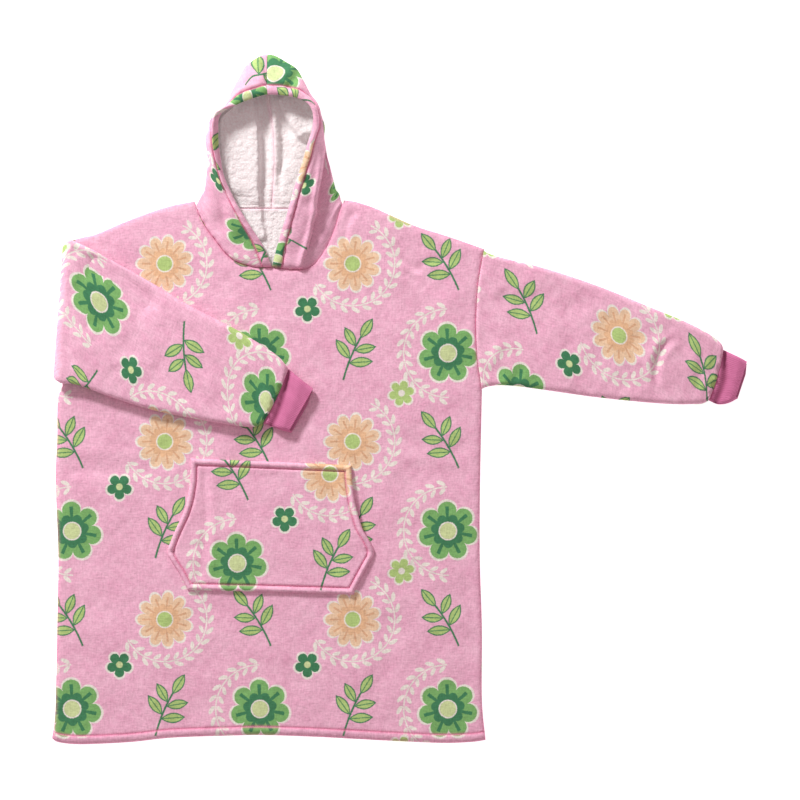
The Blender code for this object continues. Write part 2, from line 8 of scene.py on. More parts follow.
import bpy
import numpy as np
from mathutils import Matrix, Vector


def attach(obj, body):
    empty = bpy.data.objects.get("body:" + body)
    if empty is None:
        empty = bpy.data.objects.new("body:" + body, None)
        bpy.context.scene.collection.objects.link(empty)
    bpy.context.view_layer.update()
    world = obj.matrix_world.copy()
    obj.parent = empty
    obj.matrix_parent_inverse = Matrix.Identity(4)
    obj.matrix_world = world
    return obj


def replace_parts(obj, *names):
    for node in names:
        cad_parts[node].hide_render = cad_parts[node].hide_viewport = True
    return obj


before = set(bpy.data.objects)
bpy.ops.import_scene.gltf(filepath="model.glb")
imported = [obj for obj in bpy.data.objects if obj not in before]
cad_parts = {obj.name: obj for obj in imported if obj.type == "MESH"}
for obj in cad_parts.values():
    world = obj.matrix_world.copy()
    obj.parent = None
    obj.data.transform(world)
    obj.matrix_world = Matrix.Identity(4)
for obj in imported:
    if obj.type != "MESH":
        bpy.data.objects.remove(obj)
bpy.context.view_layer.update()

MM = 0.001
FLEECE = "printed_fleece"
PILE = "sherpa_pile"
KNIT = "rib_knit"
THREAD = "thread"
SEAM_GAP = 0.3
PANEL_WALL = 6.0
FRONT_BASE = PANEL_WALL + SEAM_GAP
FRONT_TOP = FRONT_BASE + PANEL_WALL
POCKET_BASE = FRONT_TOP + SEAM_GAP
HOOD_WALL = 2.5
LINING_WALL = 3.0
NECK_LINING_WALL = 3.0
CUFF_WALL = 3.2

# How far an edge rolls down at its seam, and over what width.
ROLL_DEPTH = 5.4
ROLL_WIDTH = 12.0
BACK_ROLL_DEPTH = 5.0
BACK_ROLL_WIDTH = 7.0
# Lumps where a seam draws the cloth in, as height, wave length and seed, and how wide they lie along it.
PUCKER_WAVES = ((0.55, 12, 5),)
PUCKER_WIDTH = 9.0

# The body's straight reference sides, and how far in from a side its curve still moves the columns.
RIGHT_X = -651.0
LEFT_X = 155.0
SIDE_REACH = 230.0
# How far below the top the distance from its edge is measured square to it, and the panels' usual height.
TOP_REACH = 160.0
PANEL_HEIGHT = 950.0

# Armholes and side seams from the shoulder down: y, x.
RIGHT_ARMHOLE = ((303, -622), (30, -641))
RIGHT_SIDE = (
    (30, -641), (22, -641.4), (-1, -650), (-77, -651), (-153, -654), (-286, -649), (-381, -650),
    (-533, -653), (-600, -655), (-646, -661),
)
LEFT_ARMHOLE = ((286, 161), (218, 150), (142, 146), (75, 149), (18, 157))
LEFT_SIDE = ((18, 157), (-77, 155), (-191, 153), (-305, 153), (-438, 157), (-571, 157), (-648, 164))

# Hem: x, y.
HEM = (
    (-661, -644), (-650, -651), (-622, -655), (-584, -655), (-508, -651), (-432, -643), (-318, -639),
    (-261, -638), (-166, -641), (-90, -645), (-14, -649), (81, -653), (138, -651), (165, -647),
)

# Shoulder seams from the armhole to the neck: x, y.
RIGHT_SHOULDER = ((-622, 303), (-599, 309), (-577, 314), (-523, 337), (-470, 357), (-430, 369), (-389, 377))
LEFT_SHOULDER = ((161, 286), (96, 309), (30, 330), (-20, 352), (-52, 366), (-84, 376), (-106, 379))

# Front neck seam from the centre front to the shoulder: distance from the centre line, y.
RIGHT_NECK = (
    (0, 251), (31, 251), (54, 257), (73, 265), (90, 279), (109, 304), (127, 328), (139, 352), (145, 371)
)
LEFT_NECK = (
    (0, 251), (26, 248), (54, 247), (71, 251), (87, 264), (104, 290), (120, 327), (129, 359), (134, 372)
)
BACK_NECK_Y = 362.0

# The garment's centre line, from the front neck over the crown of the hood: y, x.
CENTRE_LINE = ((250, -242), (375, -242), (450, -238), (510, -240), (560, -248), (600, -252), (656, -251))

# Soft folds of the front: start x, start y, end x, end y, sideways bend, width, height.
FRONT_FOLDS = (
    (-640, -118, -440, -124, -6, 20, -2.4),
    (-640, -98, -440, -104, -6, 14, 0.8),
    (-640, -160, -430, -170, 5, 40, 1.6),
    (-10, -76, 130, -95, -10, 20, -2.0),
    (0, -96, 140, -112, -10, 14, 1.0),
    (10, -128, 140, -140, -10, 22, -1.6),
    (-60, -400, -20, -520, 16, 22, -2.0),
    (-10, 300, 90, 205, -14, 22, -2.2),
    (-70, 345, 0, 225, -10, 24, 1.8),
    (20, 262, 74, 230, -6, 10, -1.2),
    (2, 270, 42, 244, -5, 5, -2.8),
    (4, 258, 40, 234, -5, 5, 2.0),
    (34, 250, 86, 264, 6, 6, -2.6),
    (8, 240, 36, 224, 3, 5, -2.2),
    (60, 300, 112, 262, -6, 8, -2.0),
    (128, -352, 146, -478, 6, 10, -2.2),
    (110, -420, 150, -442, 3, 8, 1.6),
    (-86, 356, -104, 300, -6, 9, -2.2),
    (-74, 352, -92, 306, -6, 7, 1.6),
    (-630, -140, -398, -150, 6, 9, -1.2),
    (-78, -470, -62, -560, 8, 9, 1.4),
    (-600, -430, -430, -560, 20, 60, 1.6),
    (20, -330, 110, -560, 18, 60, -1.4),
    (-560, -250, -500, -400, -14, 50, -1.4),
    (-440, -330, -408, -395, 6, 9, 1.6),
    (-462, -352, -415, -405, 6, 8, -1.4),
)
# The front's ripples, and those of its hem: height, wave length, seed.
FRONT_WAVES = ((0.62, 82, 1), (0.24, 27, 2))
HEM_WAVES = ((0.5, 34, 3),)
# How wide the front's folds fade out at its edges, and how wide and how long the hem's ripples are.
FOLDS_FROM_EDGE = 25.0
HEM_WAVE_WIDTH = 26.0
HEM_WAVE_STRETCH = 0.35
# Where the front's edge rolls down less, round the neck: middle x, reach, lowest y, share of the roll.
NECK_EDGE = (-247.0, 150.0, 225.0, 0.45)
# Where the front lies pressed flat, under the folded sleeve and the pocket: x from, x to, y from, y to.
PRESSED = ((-700, -150, -75, 300), (-455, -35, -385, -100))
PRESSED_FADE = 30.0

# Hem band of the front: distance from the hem, extra height.
HEM_BAND = (
    (0, -0.6), (2.5, 0.8), (7, 1.5), (12, 1.4), (14.6, 0.5), (16.4, -0.8), (18.2, -0.1), (22, 0.3), (30, 0)
)

# The stretched sleeve from armhole to cuff: upper edge x, y, lower edge x, y, height, wall.
LEFT_SLEEVE = (
    (161, 285, 157, 19, 14, 5.4),
    (223, 265, 201, 27, 15, 5.9),
    (307, 240, 276, 18, 17, 6.9),
    (390, 211, 360, 6, 18, 7.4),
    (478, 175, 451, -4, 19, 7.9),
    (541, 149, 518, -9, 19, 7.9),
    (588, 125, 554, -9, 18, 7.4),
    (611, 107, 575, -8, 17, 5.9),
    (616, 94, 588, -2, 15, 3.7),
)
# The same for the folded one, from the top of its fold, with the height of its two edges off the floor.
RIGHT_SLEEVE = (
    (-622, 303, -641, 31, 14, 5.4, 20.0, 20.0),
    (-577, 281, -609, 27, 15, 5.9, 18.0, 20.5),
    (-481, 228, -542, 3, 16, 6.4, 13.6, 17.0),
    (-395, 177, -464, -21, 17, 6.9, 13.3, 13.6),
    (-312, 134, -364, -41, 18, 7.4, 13.3, 13.3),
    (-250, 96, -309, -50, 18, 7.4, 13.3, 13.3),
    (-225, 77, -276, -52, 18, 5.9, 13.6, 13.6),
    (-211, 58, -259, -45, 16, 3.9, 14.0, 14.0),
)
# How far the sleeves' ends dive to the cuffs' seams, over what length, and how far they bow over the cuffs.
END_DIVE = 0.42
END_DIVE_LENGTH = 6.0
END_BOW = 3.2
# The fold goes round an axis at the armhole, and its two ends draw in.
FOLD_AXIS_Z = 17.0
FOLD_STEPS = 20
FOLD_END_PULL = (9.0, 5.0)
# Over how many rows of its table the stretched sleeve takes on the armhole's line, and how far and over what
# width it sinks into that seam.
CAP_ROWS = 1.6
SLEEVE_SEAM_DEPTH = 0.62
SLEEVE_SEAM_WIDTH = 12.0

# Soft folds of the sleeves' upper side, with the columns of the front's.
LEFT_SLEEVE_FOLDS = (
    (512, 112, 488, 34, -10, 7, -4.4),
    (498, 116, 476, 38, -11, 9, 2.6),
    (526, 106, 500, 30, -10, 9, 2.0),
    (204, 246, 176, 196, 6, 9, 1.8),
    (196, 110, 176, 60, -6, 9, 1.6),
    (230, 190, 330, 168, 6, 22, -2.0),
    (236, 62, 204, 34, 4, 9, -2.4),
    (206, 44, 190, 24, 3, 8, 1.8),
    (190, 210, 262, 120, 8, 20, -1.8),
    (215, 90, 330, 50, 8, 26, 1.6),
    (300, 210, 420, 120, 10, 30, -1.6),
    (560, 110, 540, 20, 6, 12, 1.6),
    (575, 96, 560, 10, 4, 6, -1.2),
    (588, 92, 572, 6, 3, 5, 1.0),
    (180, 250, 205, 180, 5, 12, -1.4),
    (172, 60, 230, 38, 5, 12, -1.4),
)
RIGHT_SLEEVE_FOLDS = (
    (-590, 262, -470, 170, 10, 26, -8.0),
    (-560, 250, -430, 170, 8, 12, 1.6),
    (-618, 286, -596, 262, 4, 8, -3.0),
    (-606, 292, -584, 270, 4, 8, 2.0),
    (-600, 120, -540, 60, -10, 26, 1.8),
    (-560, 215, -520, 90, -14, 20, -1.8),
    (-500, 190, -470, 80, -10, 16, -1.4),
    (-440, 160, -330, 60, 10, 28, 1.8),
    (-300, 90, -270, -20, 8, 13, -2.2),
    (-275, 96, -245, -20, 8, 10, 1.4),
    (-252, 84, -232, -30, 5, 6, -1.2),
    (-470, 60, -380, 0, 8, 18, -1.6),
)

# Ripples of the two sleeves and of their gathers at the cuffs, with the columns of the front's, and the share
# of the dive to the cuff from which the gathers show.
LEFT_SLEEVE_WAVES = ((0.8, 70, 11), (0.28, 26, 12))
RIGHT_SLEEVE_WAVES = ((0.8, 70, 21), (0.28, 26, 22))
GATHER_WAVES = ((0.10, 11, 8),)
GATHERS_FROM = 0.02

# Ribbed cuffs from seam to mouth: upper edge x, y, lower edge x, y, height, height off the floor.
LEFT_CUFF = (
    (616.4, 94, 588.4, -2, 8.6, 0),
    (630, 88, 605, -9, 12.2, 0),
    (647, 80, 623, -7, 13.4, 0),
    (660.6, 72.5, 637, 2, 11.8, 0),
)
RIGHT_CUFF = (
    (-210.4, 57.6, -258.6, -45.3, 8.6, 14.2),
    (-196, 46, -243, -51, 12.4, 14.2),
    (-180, 33, -227, -57, 14.0, 14.0),
    (-164, 21, -211, -61, 13.4, 13.8),
)
# Folds of both cuffs, with the columns of the front's.
CUFF_FOLDS = (
    (-184, 44, -232, -66, 4, 9, 1.2),
    (-232, 20, -180, -12, 10, 10, -0.8),
    (648, 92, 624, -20, 3, 8, 1.0),
    (594, 34, 644, 26, 7, 9, -0.8),
)
# The valley beside a cuff's seam: its distance from the seam at five places from the upper edge to the
# lower one, its width and depth, and the height of the roll between it and the seam.
# The valley is also darkened in the knit's colour with painted shade.
LEFT_CUFF_VALLEY = (1, 11, 16, 15, 12)
RIGHT_CUFF_VALLEY = (2, 9, 14, 17, 17)
CUFF_VALLEY_WIDTH = 5.4
CUFF_VALLEY_DEPTH = 4.0
CUFF_ROLL = 1.6
CUFF_ROLL_WIDTH = 3.0
RIB_PITCH = 3.6
RIB_DEPTH = 0.2
LOOP_PITCH = 1.5
# How far a cuff's lower layer shows beyond its upper one.
CUFF_LAYER_SHIFT = 6.0

# Outline of the pocket, upwards: y, left x, right x.
POCKET_SIDES = (
    (-372, -402, -86),
    (-361, -403, -84),
    (-328, -420, -67),
    (-308, -433, -56),
    (-290, -441, -48),
    (-270, -435, -56),
    (-248, -426, -69),
    (-220, -413, -78),
    (-191, -404, -85),
    (-153, -398, -90),
    (-113, -397, -92),
)
POCKET_BOTTOM = ((-402, -362), (-244, -366), (-86, -371))
POCKET_TOP = ((-397, -112), (-244, -118), (-92, -125))
# The pocket's turned band, all round: distance from the edge, thickness.
POCKET_BAND = (
    (0, 1.0), (0.8, 3.6), (2, 5.6), (4.5, 7.4), (8, 7.1), (10.2, 5.6), (11.4, 2.8), (12.4, 1.5),
    (13.4, 2.4), (15.2, 4.2), (18, 4.5), (26, 3.9),
)
# Where the pocket's bands meet at its two side corners.
POCKET_NOTCHES = ((-447, -293, -422, -286, 0, 2.4, -2.6), (-68, -286, -42, -293, 0, 2.4, -2.6))
# How far the hand opening on the wearer's left stands up, over what width, and from which y to which, each
# with the length over which it rises.
POCKET_GAPE = 6.5
POCKET_GAPE_WIDTH = 16.0
POCKET_GAPE_FROM = (-296.0, 40.0)
POCKET_GAPE_TO = (-118.0, 30.0)
# The pocket's usual width and height between its bands, which set its lines.
POCKET_SPAN = (330.0, 250.0)
# The shade of the pocket's stitched valley: distance from the edge, width, strength.
POCKET_SHADE = (12.3, 2.2, 0.6)
# Where the pocket is cut from the print, moved from its place on the front.
POCKET_CUT = (43.0, 61.0)
POCKET_FOLDS = (
    (-372, -130, -382, -345, 8, 7, -2.0),
    (-355, -140, -360, -340, 6, 9, 1.8),
    (-130, -150, -122, -330, -8, 12, -1.4),
    (-404, -300, -350, -318, 4, 6, 1.3),
    (-404, -285, -360, -276, 3, 5, -1.2),
    (-340, -250, -170, -300, 14, 34, 1.0),
)

# Ripples of the pocket and of its band, with the columns of the front's.
POCKET_WAVES = ((0.35, 60, 31), (0.15, 22, 32))
POCKET_BAND_WAVES = ((0.3, 17, 33),)

# Each half of the hood, from the neck seam to the crown seam. Five points cross it from the opening
# over the side to the seam at the back of the head: distance from the centre line, y, height.
RIGHT_HOOD = (
    ((18, 293, 22), (76, 311, 21), (137, 383, 10), (88, 379, 0), (0, 381, 0)),
    ((44, 333, 30), (88, 354, 29), (130, 398, 13), (85, 400, 0), (0, 402, 0)),
    ((69, 375, 32), (102, 398, 35), (127, 426, 16), (85, 430, 0), (0, 432, 0)),
    ((96, 432, 32), (115, 449, 40), (126, 464, 18), (83, 470, 0), (0, 474, 0)),
    ((104, 497, 32), (117, 501, 42), (126, 504, 18), (82, 512, 0), (0, 516, 0)),
    ((95, 539, 38), (105, 539, 41), (113, 533, 18), (75, 538, 0), (0, 542, 0)),
    ((63, 557, 47), (71, 563, 40), (81, 562, 17), (58, 556, 0), (0, 558, 0)),
    ((39, 567, 46), (46, 592, 37), (57, 604, 16), (36, 577, 0), (0, 571, 0)),
    ((21, 573, 44), (25, 611, 35), (35, 638, 15), (19, 605, 0), (0, 588, 0)),
    ((0, 578, 43), (0, 615, 33), (0, 655.4, 14), (0, 634, 0), (0, 611, 0)),
)
LEFT_HOOD = (
    ((8, 284, 21), (62, 303, 25), (127, 386, 10), (83, 379, 0), (0, 381, 0)),
    ((20, 324, 29), (68, 349, 33), (119, 398, 13), (78, 400, 0), (0, 402, 0)),
    ((32, 362, 36), (73, 388, 38), (113, 421, 16), (73, 426, 0), (0, 432, 0)),
    ((46, 419, 43), (75, 436, 41), (102, 459, 18), (65, 468, 0), (0, 474, 0)),
    ((62, 474, 47), (80, 485, 42), (97, 497, 18), (61, 510, 0), (0, 516, 0)),
    ((80, 529, 48), (89, 532, 41), (97, 532, 18), (62, 538, 0), (0, 542, 0)),
    ((77, 557, 47), (83, 561, 40), (90, 565, 17), (59, 557, 0), (0, 558, 0)),
    ((58, 570, 45), (67, 584, 37), (75, 592, 16), (48, 574, 0), (0, 571, 0)),
    ((32, 576, 44), (46, 607, 35), (54, 629, 15), (31, 603, 0), (0, 588, 0)),
    ((0, 578, 43), (0, 615, 33), (0, 655.4, 14), (0, 634, 0), (0, 611, 0)),
)
# The neck seam's height along the front, and its way back under the head: distance, y, height.
NECK_HEIGHTS = (16, 16, 16, 16, 16, 16, 15.5, 14, 8)
RIGHT_BACK_NECK = ((145, 371, 8), (135, 367, 1), (118, 364, 0), (88, 362.8, 0), (45, 362.6, 0), (0, 362.6, 0))
LEFT_BACK_NECK = ((134, 372, 8), (125, 367, 1), (110, 364, 0), (83, 362.8, 0), (42, 362.6, 0), (0, 362.6, 0))
# Which way the hood's wall is thick, from the opening round to the back seam: share, degrees above level.
WALL_TURN = ((0, -78), (0.25, -64), (0.4, -40), (0.5, 0), (0.6, 52), (0.7, 86), (0.75, 90), (1, 90))
# The hood's turned rim: distance from the opening, depth into the cloth.
HOOD_RIM_BAND = (
    (0, 1.0), (2, -1.2), (5, -3.2), (9, -4.0), (13, -3.4), (16, -1.0), (18.2, 2.8), (20, 0.8),
    (23, -1.2), (34, 0),
)
HOOD_BAND_WIDTH = 18.2
# Ripples of the hood, of its gathers at the neck seam and of its rim: height, wave length, seed.
HOOD_WAVE = (1.0, 44, 41)
NECK_WAVES = ((0.9, 15, 44),)
RIM_WAVES = ((0.75, 16, 47),)
# The columns and rows of the hood's cloth and of its lining.
HOOD_GRID = (220, 104)
LINING_GRID = (116, 190)
# Where the hood's upper side turns into its underside: share of the way round, and over what share.
UPPER_END = (0.56, 0.1)
# Where the rim is cut from the print, moved from its place on the hood.
RIM_CUT = (131.0, 57.0)
# Folds of the hood's outer cloth, with the columns of the front's.
HOOD_FOLDS = (
    (-358, 430, -330, 336, 4, 8, -5.5),
    (-374, 424, -350, 345, 3, 9, 2.6),
    (-332, 332, -290, 276, 3, 8, -2.4),
    (-314, 372, -282, 306, 3, 10, 1.8),
    (-262, 648, -250, 598, 2, 6, -3.6),
    (-272, 648, -262, 604, 2, 7, 2.0),
    (-212, 588, -192, 626, -3, 7, -4.0),
    (-222, 600, -206, 634, -3, 8, 2.0),
    (-290, 622, -316, 584, 3, 9, 2.4),
    (-302, 628, -330, 586, 3, 6, -1.8),
    (-236, 640, -214, 612, 2, 8, 2.2),
)
# Flaps of the hood's lining. The last three columns are the width towards the wearer's left or the top,
# the width on the other side, and the height.
PILE_FLAPS = (
    (-279, 584, -268, 366, 3, 4, 36, 13.0),
    (-342, 560, -322, 392, -4, 36, 40, 11.0),
    (-262, 578, -260, 400, 3, 9, 8, -3.0),
    (-236, 578, -231, 380, -4, 6, 9, 4.0),
    (-240, 584, -231, 440, 3, 4, 14, 6.0),
    (-221, 578, -214, 452, 3, 10, 10, -4.0),
    (-228, 576, -188, 496, -4, 30, 5, 13.0),
    (-214, 500, -222, 372, 3, 28, 9, 5.0),
)
# The pile's lumps: height, size, shift, seed.
PILE_LUMPS = ((1.3, 12, 0, 3), (0.9, 5.6, 40, 7))
# The pile's seams: the groove's depth and width, and the distance and width of the ridge beside it.
PILE_GROOVE = (0.9, 1.2)
PILE_RIDGE = (3.6, 2.6)
# How unevenly the flaps' edges run, and over what length.
FLAP_WAVER = 1.8
WAVER_LENGTH = 62
# How a fold or a flap fades at its two ends: steepness, and share of its height that is left at the very end.
FOLD_FADE = (4, 0.5)
FLAP_FADE = (5, 0.6)
# The flap that runs on over the back's own lining.
NECK_FLAPS = ((-268, 380, -260, 306, 2, 4, 30, 6.0),)
# The crest of the fold in the left side of the hood, from the neck upwards: y, x.
HOOD_CREST = ((246, -184), (271, -179.5), (296, -171), (342, -160), (382, -155), (430, -147), (474, -143))
CREST_DROP = 25.0
# The ridge before the crest: distance, width, height. The y where the drop starts and ends, and over what
# height each.
CREST_RIDGE = (5.0, 6.0, 6.2)
CREST_START = (238.0, 16.0)
CREST_END = (486.0, 70.0)
# How far the hood's upper side stays above its neck seam's height, away from that seam.
HOOD_CLEARANCE = 5.5
# Over what width the hood comes down to its neck seam.
NECK_DROP_WIDTH = 9.0

# Grid lines close to an edge, the steps of a smooth curve between two points of a table, and the usual
# distance between lines elsewhere.
EDGE_LINES = (0, 0.5, 1.4, 2.8, 4.6, 6.8, 9.4, 12.4)
HEM_LINES = (0, 0.6, 1.8, 3.6, 6, 9, 12, 13.5, 14.6, 15.4, 16, 16.4, 16.8, 17.4, 18.6, 21, 25, 30)
RIM_LINES = (0, 0.4, 1, 1.8, 3, 4.6, 6.6, 9, 11.4, 13.6, 15.4, 16.8, 17.6, 18.18, 18.22, 18.9, 20, 21.8, 24)
POCKET_LINES = (0, 0.4, 0.9, 1.6, 2.6, 4.2, 6.4, 9, 10.6, 11.6, 12.2, 12.6, 13, 13.6, 15, 17.6, 21)
GRAPH_STEPS = 8
FRONT_STEP = 5.2
BACK_STEP = 10.0
SLEEVE_STEP = 4.2
CUFF_STEP = 2.6
POCKET_STEP = 4.0
# The sleeves' usual width, which sets their columns, and how round their edges are.
SLEEVE_WIDTH = 270.0
SLEEVE_ROUNDING = 0.62
# The line of each row of stitches, counted from the edge, and how wide its shade is.
HEM_STITCH_LINE = 16.4
POCKET_STITCH_LINE = 12.2
RIM_STITCH_LINE = 18.18
STITCH_SHADE_WIDTH = 2.4
# How wide the shade at a sewn edge of the fleece is, and at one of the pile.
SEAM_SHADE_WIDTH = 4.0
PILE_SHADE_WIDTH = 3.4
# Sewing thread.
STITCH_PITCH = 4.2
STITCH_LENGTH = 2.9
STITCH_LIFT = 0.25
THREAD_WIDTH = 0.9
THREAD_SIDES = 6

# Where the camera is, and how much of the floor its picture covers, in metres.
PICTURE_CENTRE = (0.001, -0.001)
PICTURE_WIDTH = 1.52
CAMERA_HEIGHT = 9.0
SCALE_HEIGHT = 0.012
SENSOR = 36.0
# The key light: height above the floor and turn from the picture's top towards its left in degrees, where
# it points, distance and diameter in metres, and power in watts.
KEY_ELEVATION = 29.0
KEY_TURN = 33.0
KEY_AIM = (-0.25, 0.3, 0.0)
KEY_DISTANCE = 5.8
KEY_SIZE = 1.05
KEY_POWER = 400.0
SKY_STRENGTH = 0.51
SKY_COLOUR = (1.0, 0.82, 0.84)
FLOOR_GLOW = 0.7
FLOOR_REACH = 30.0
FLOOR_Z = -0.0005

# Size of the print's repeat.
REPEAT = (357.0, 338.0)
PRINT_SOFTNESS = 1.6
# Threads of the fleece's knit in each metre, across and up, in its courses and in its wales.
COURSES = (80, 340, 0)
WALES = (340, 80, 0)
# sRGB colours.
PINK = (240, 192, 212)
DEEP_PINK = (228, 170, 195)
PALE_GREEN = (202, 219, 160)
LIGHT_GREEN = (176, 206, 128)
MID_GREEN = (124, 180, 108)
DARK_GREEN = (66, 130, 90)
PEACH = (232, 202, 168)
INNER_PEACH = (226, 186, 146)
DARK_PEACH = (216, 174, 138)
CREAM = (233, 231, 220)
CUFF_PINK = (216, 128, 170)
CUFF_SHADE = (188, 100, 142)
# Painted shade in the valley beside each cuff's seam.
CUFF_VALLEY_SHADE = (134, 60, 92)
PILE_WHITE = (240, 239, 238)
PILE_SHADE = (222, 200, 200)
PILE_SEAM = (236, 198, 210)
THREAD_PINK = (228, 148, 178)
# Painted shade in the fleece's stitched grooves and along its seams and rolled edges.
SEAM_SHADE_PINK = (228, 132, 168)

# The print's round flowers in the repeat: place as x, y and turn, size, petals, the colours of the petals, of
# the inner ones, of the middle and of the rays, and the garland's reach, leaves in a full round, first leaf
# and last leaf.
FLOWERS = (
    ((92, 88, 15), 56, 7, (MID_GREEN, DARK_GREEN, PALE_GREEN, DARK_GREEN), (84, 26, 6, 18)),
    ((268, 258, 0), 52, 11, (PEACH, INNER_PEACH, LIGHT_GREEN, DARK_PEACH), (80, 25, -10, 4)),
)
# Its branches: place and side. The leaves of one: base x, y, angle, length, width.
BRANCHES = (((268, 88, -24), 1.0), ((88, 256, 32), -1.0))
BRANCH_LEAVES = (
    (1, -20, 28, 46, 10),
    (0, -12, 150, 46, 10),
    (1, 6, 34, 42, 9.5),
    (0, 14, 144, 42, 9.5),
    (2, 32, 82, 44, 10),
)
# Its small blossoms: place, size, petals, colours of the petals and of the middle.
BLOSSOMS = (((182, 172, 18), 24, 5, DARK_GREEN, PALE_GREEN), ((4, 350, -16), 24, 6, LIGHT_GREEN, CREAM))


def curve(points, places):
    """Points on a smooth curve through the given ones, at places counted in points."""
    points = np.asarray(points, float)
    places = np.clip(np.asarray(places, float), 0, len(points) - 1)
    first = np.minimum(places.astype(int), len(points) - 2)
    share = (places - first).reshape(places.shape + (1,) * (points.ndim - 1))
    ends = np.concatenate([[2 * points[0] - points[1]], points, [2 * points[-1] - points[-2]]])
    a, b, c, d = (ends[first + i] for i in range(4))
    bend = 2 * a - 5 * b + 4 * c - d
    return 0.5 * (2 * b + (c - a) * share + bend * share**2 + (3 * b - a - 3 * c + d) * share**3)


def graph(table, at):
    """The second column of a table where its first is at, along a smooth curve with rising steps."""
    dense = curve(table, np.linspace(0, len(table) - 1, GRAPH_STEPS * (len(table) - 1) + 1))
    if dense[0, 0] > dense[-1, 0]:
        dense = dense[::-1]
    return np.interp(at, np.maximum.accumulate(dense[:, 0]), dense[:, 1])


def line(table, at):
    """The second column of a table where its first is at, in straight steps, for rows in any order."""
    table = np.asarray(sorted(table), float)
    return np.interp(at, table[:, 0], table[:, 1])


def unit(values):
    """Values held between 0 and 1."""
    return np.clip(values, 0, 1)


def bell(distance, width):
    """1 at no distance, falling away softly over a width on both sides."""
    return np.exp(-((distance / width) ** 2))


def smooth(share):
    """A share that starts and ends its rise softly."""
    return share**2 * (3 - 2 * share)


def rounding(distance, width):
    """1 at an edge, down to 0 at a width from it, on a quarter of a circle."""
    near = 1 - unit(distance / width)
    return 1 - np.sqrt(1 - near**2)


def centre_x(y):
    return line(CENTRE_LINE, y)


def side_x(armhole, side, y):
    """A body edge: the armhole above, the side seam below it."""
    return np.where(y > side[0][0], graph(armhole, y), graph(side, y))


def neck_points(side, steps=1):
    """The front neck seam of one half as plan points, side -1 for the wearer's right."""
    table = np.asarray(RIGHT_NECK if side < 0 else LEFT_NECK, float)
    table = curve(table, np.linspace(0, len(table) - 1, steps * (len(table) - 1) + 1))
    return np.column_stack([centre_x(table[:, 1]) + side * table[:, 0], table[:, 1]])


def grid_lines(length, step, near=EDGE_LINES):
    """Places of a grid's lines, close together at both ends."""
    near = np.asarray(near, float)
    count = max(1, round((length - 2 * near[-1]) / step))
    middle = np.linspace(near[-1], length - near[-1], count + 1)[1:-1]
    return np.concatenate([near, middle, length - near[::-1]])


def run(points, axis):
    """Distance along a grid of points from its first line."""
    steps = np.linalg.norm(np.diff(points, axis=axis), axis=2)
    start = np.zeros_like(np.take(steps, [0], axis))
    return np.concatenate([start, np.cumsum(steps, axis=axis)], axis=axis)


def ripple(x, y, length, seed):
    """Even waves in all directions, of about one unit, with the given wave length."""
    numbers = np.random.RandomState(seed)
    height = np.zeros_like(x)
    for turn in np.linspace(0, math.pi, 9, endpoint=False):
        angle = turn + numbers.uniform(0, 0.35)
        size = length * numbers.uniform(0.75, 1.35)
        place = (x * math.cos(angle) + y * math.sin(angle)) * 2 * math.pi / size
        height += np.sin(place + numbers.uniform(0, 2 * math.pi))
    return height / 3


def waves(rows, x, y):
    """Ripples on each other, from rows of height, wave length and seed."""
    return sum(height * ripple(x, y, length, seed) for height, length, seed in rows)


def curls(points, size, seed):
    """Rounded lumps in space, 0 between them and 1 on top, about one for each size."""
    cell = np.floor(points / size)
    nearest = np.full(len(points), 9.0)
    for shift in np.ndindex(3, 3, 3):
        corner = cell + np.array(shift) - 1
        mix = corner @ np.array([127.1, 311.7, 74.7]) + seed
        jitter = np.column_stack([np.modf(np.abs(np.sin(mix + i * 3.3) * 43758.5453))[0] for i in range(3)])
        gap = points / size - corner - 0.15 - 0.7 * jitter
        nearest = np.minimum(nearest, np.einsum("ij,ij->i", gap, gap))
    return unit(1 - nearest * 1.5)


def add_object(name, data):
    """A new object in the scene."""
    thing = bpy.data.objects.new(name, data)
    bpy.context.scene.collection.objects.link(thing)
    return thing


def add_piece(name, mesh, look):
    """A new piece of the garment, with its material and slot, on the garment's one body."""
    mesh.materials.append(look_material(look))
    piece = add_object(name, mesh)
    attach(piece, "root")
    return piece


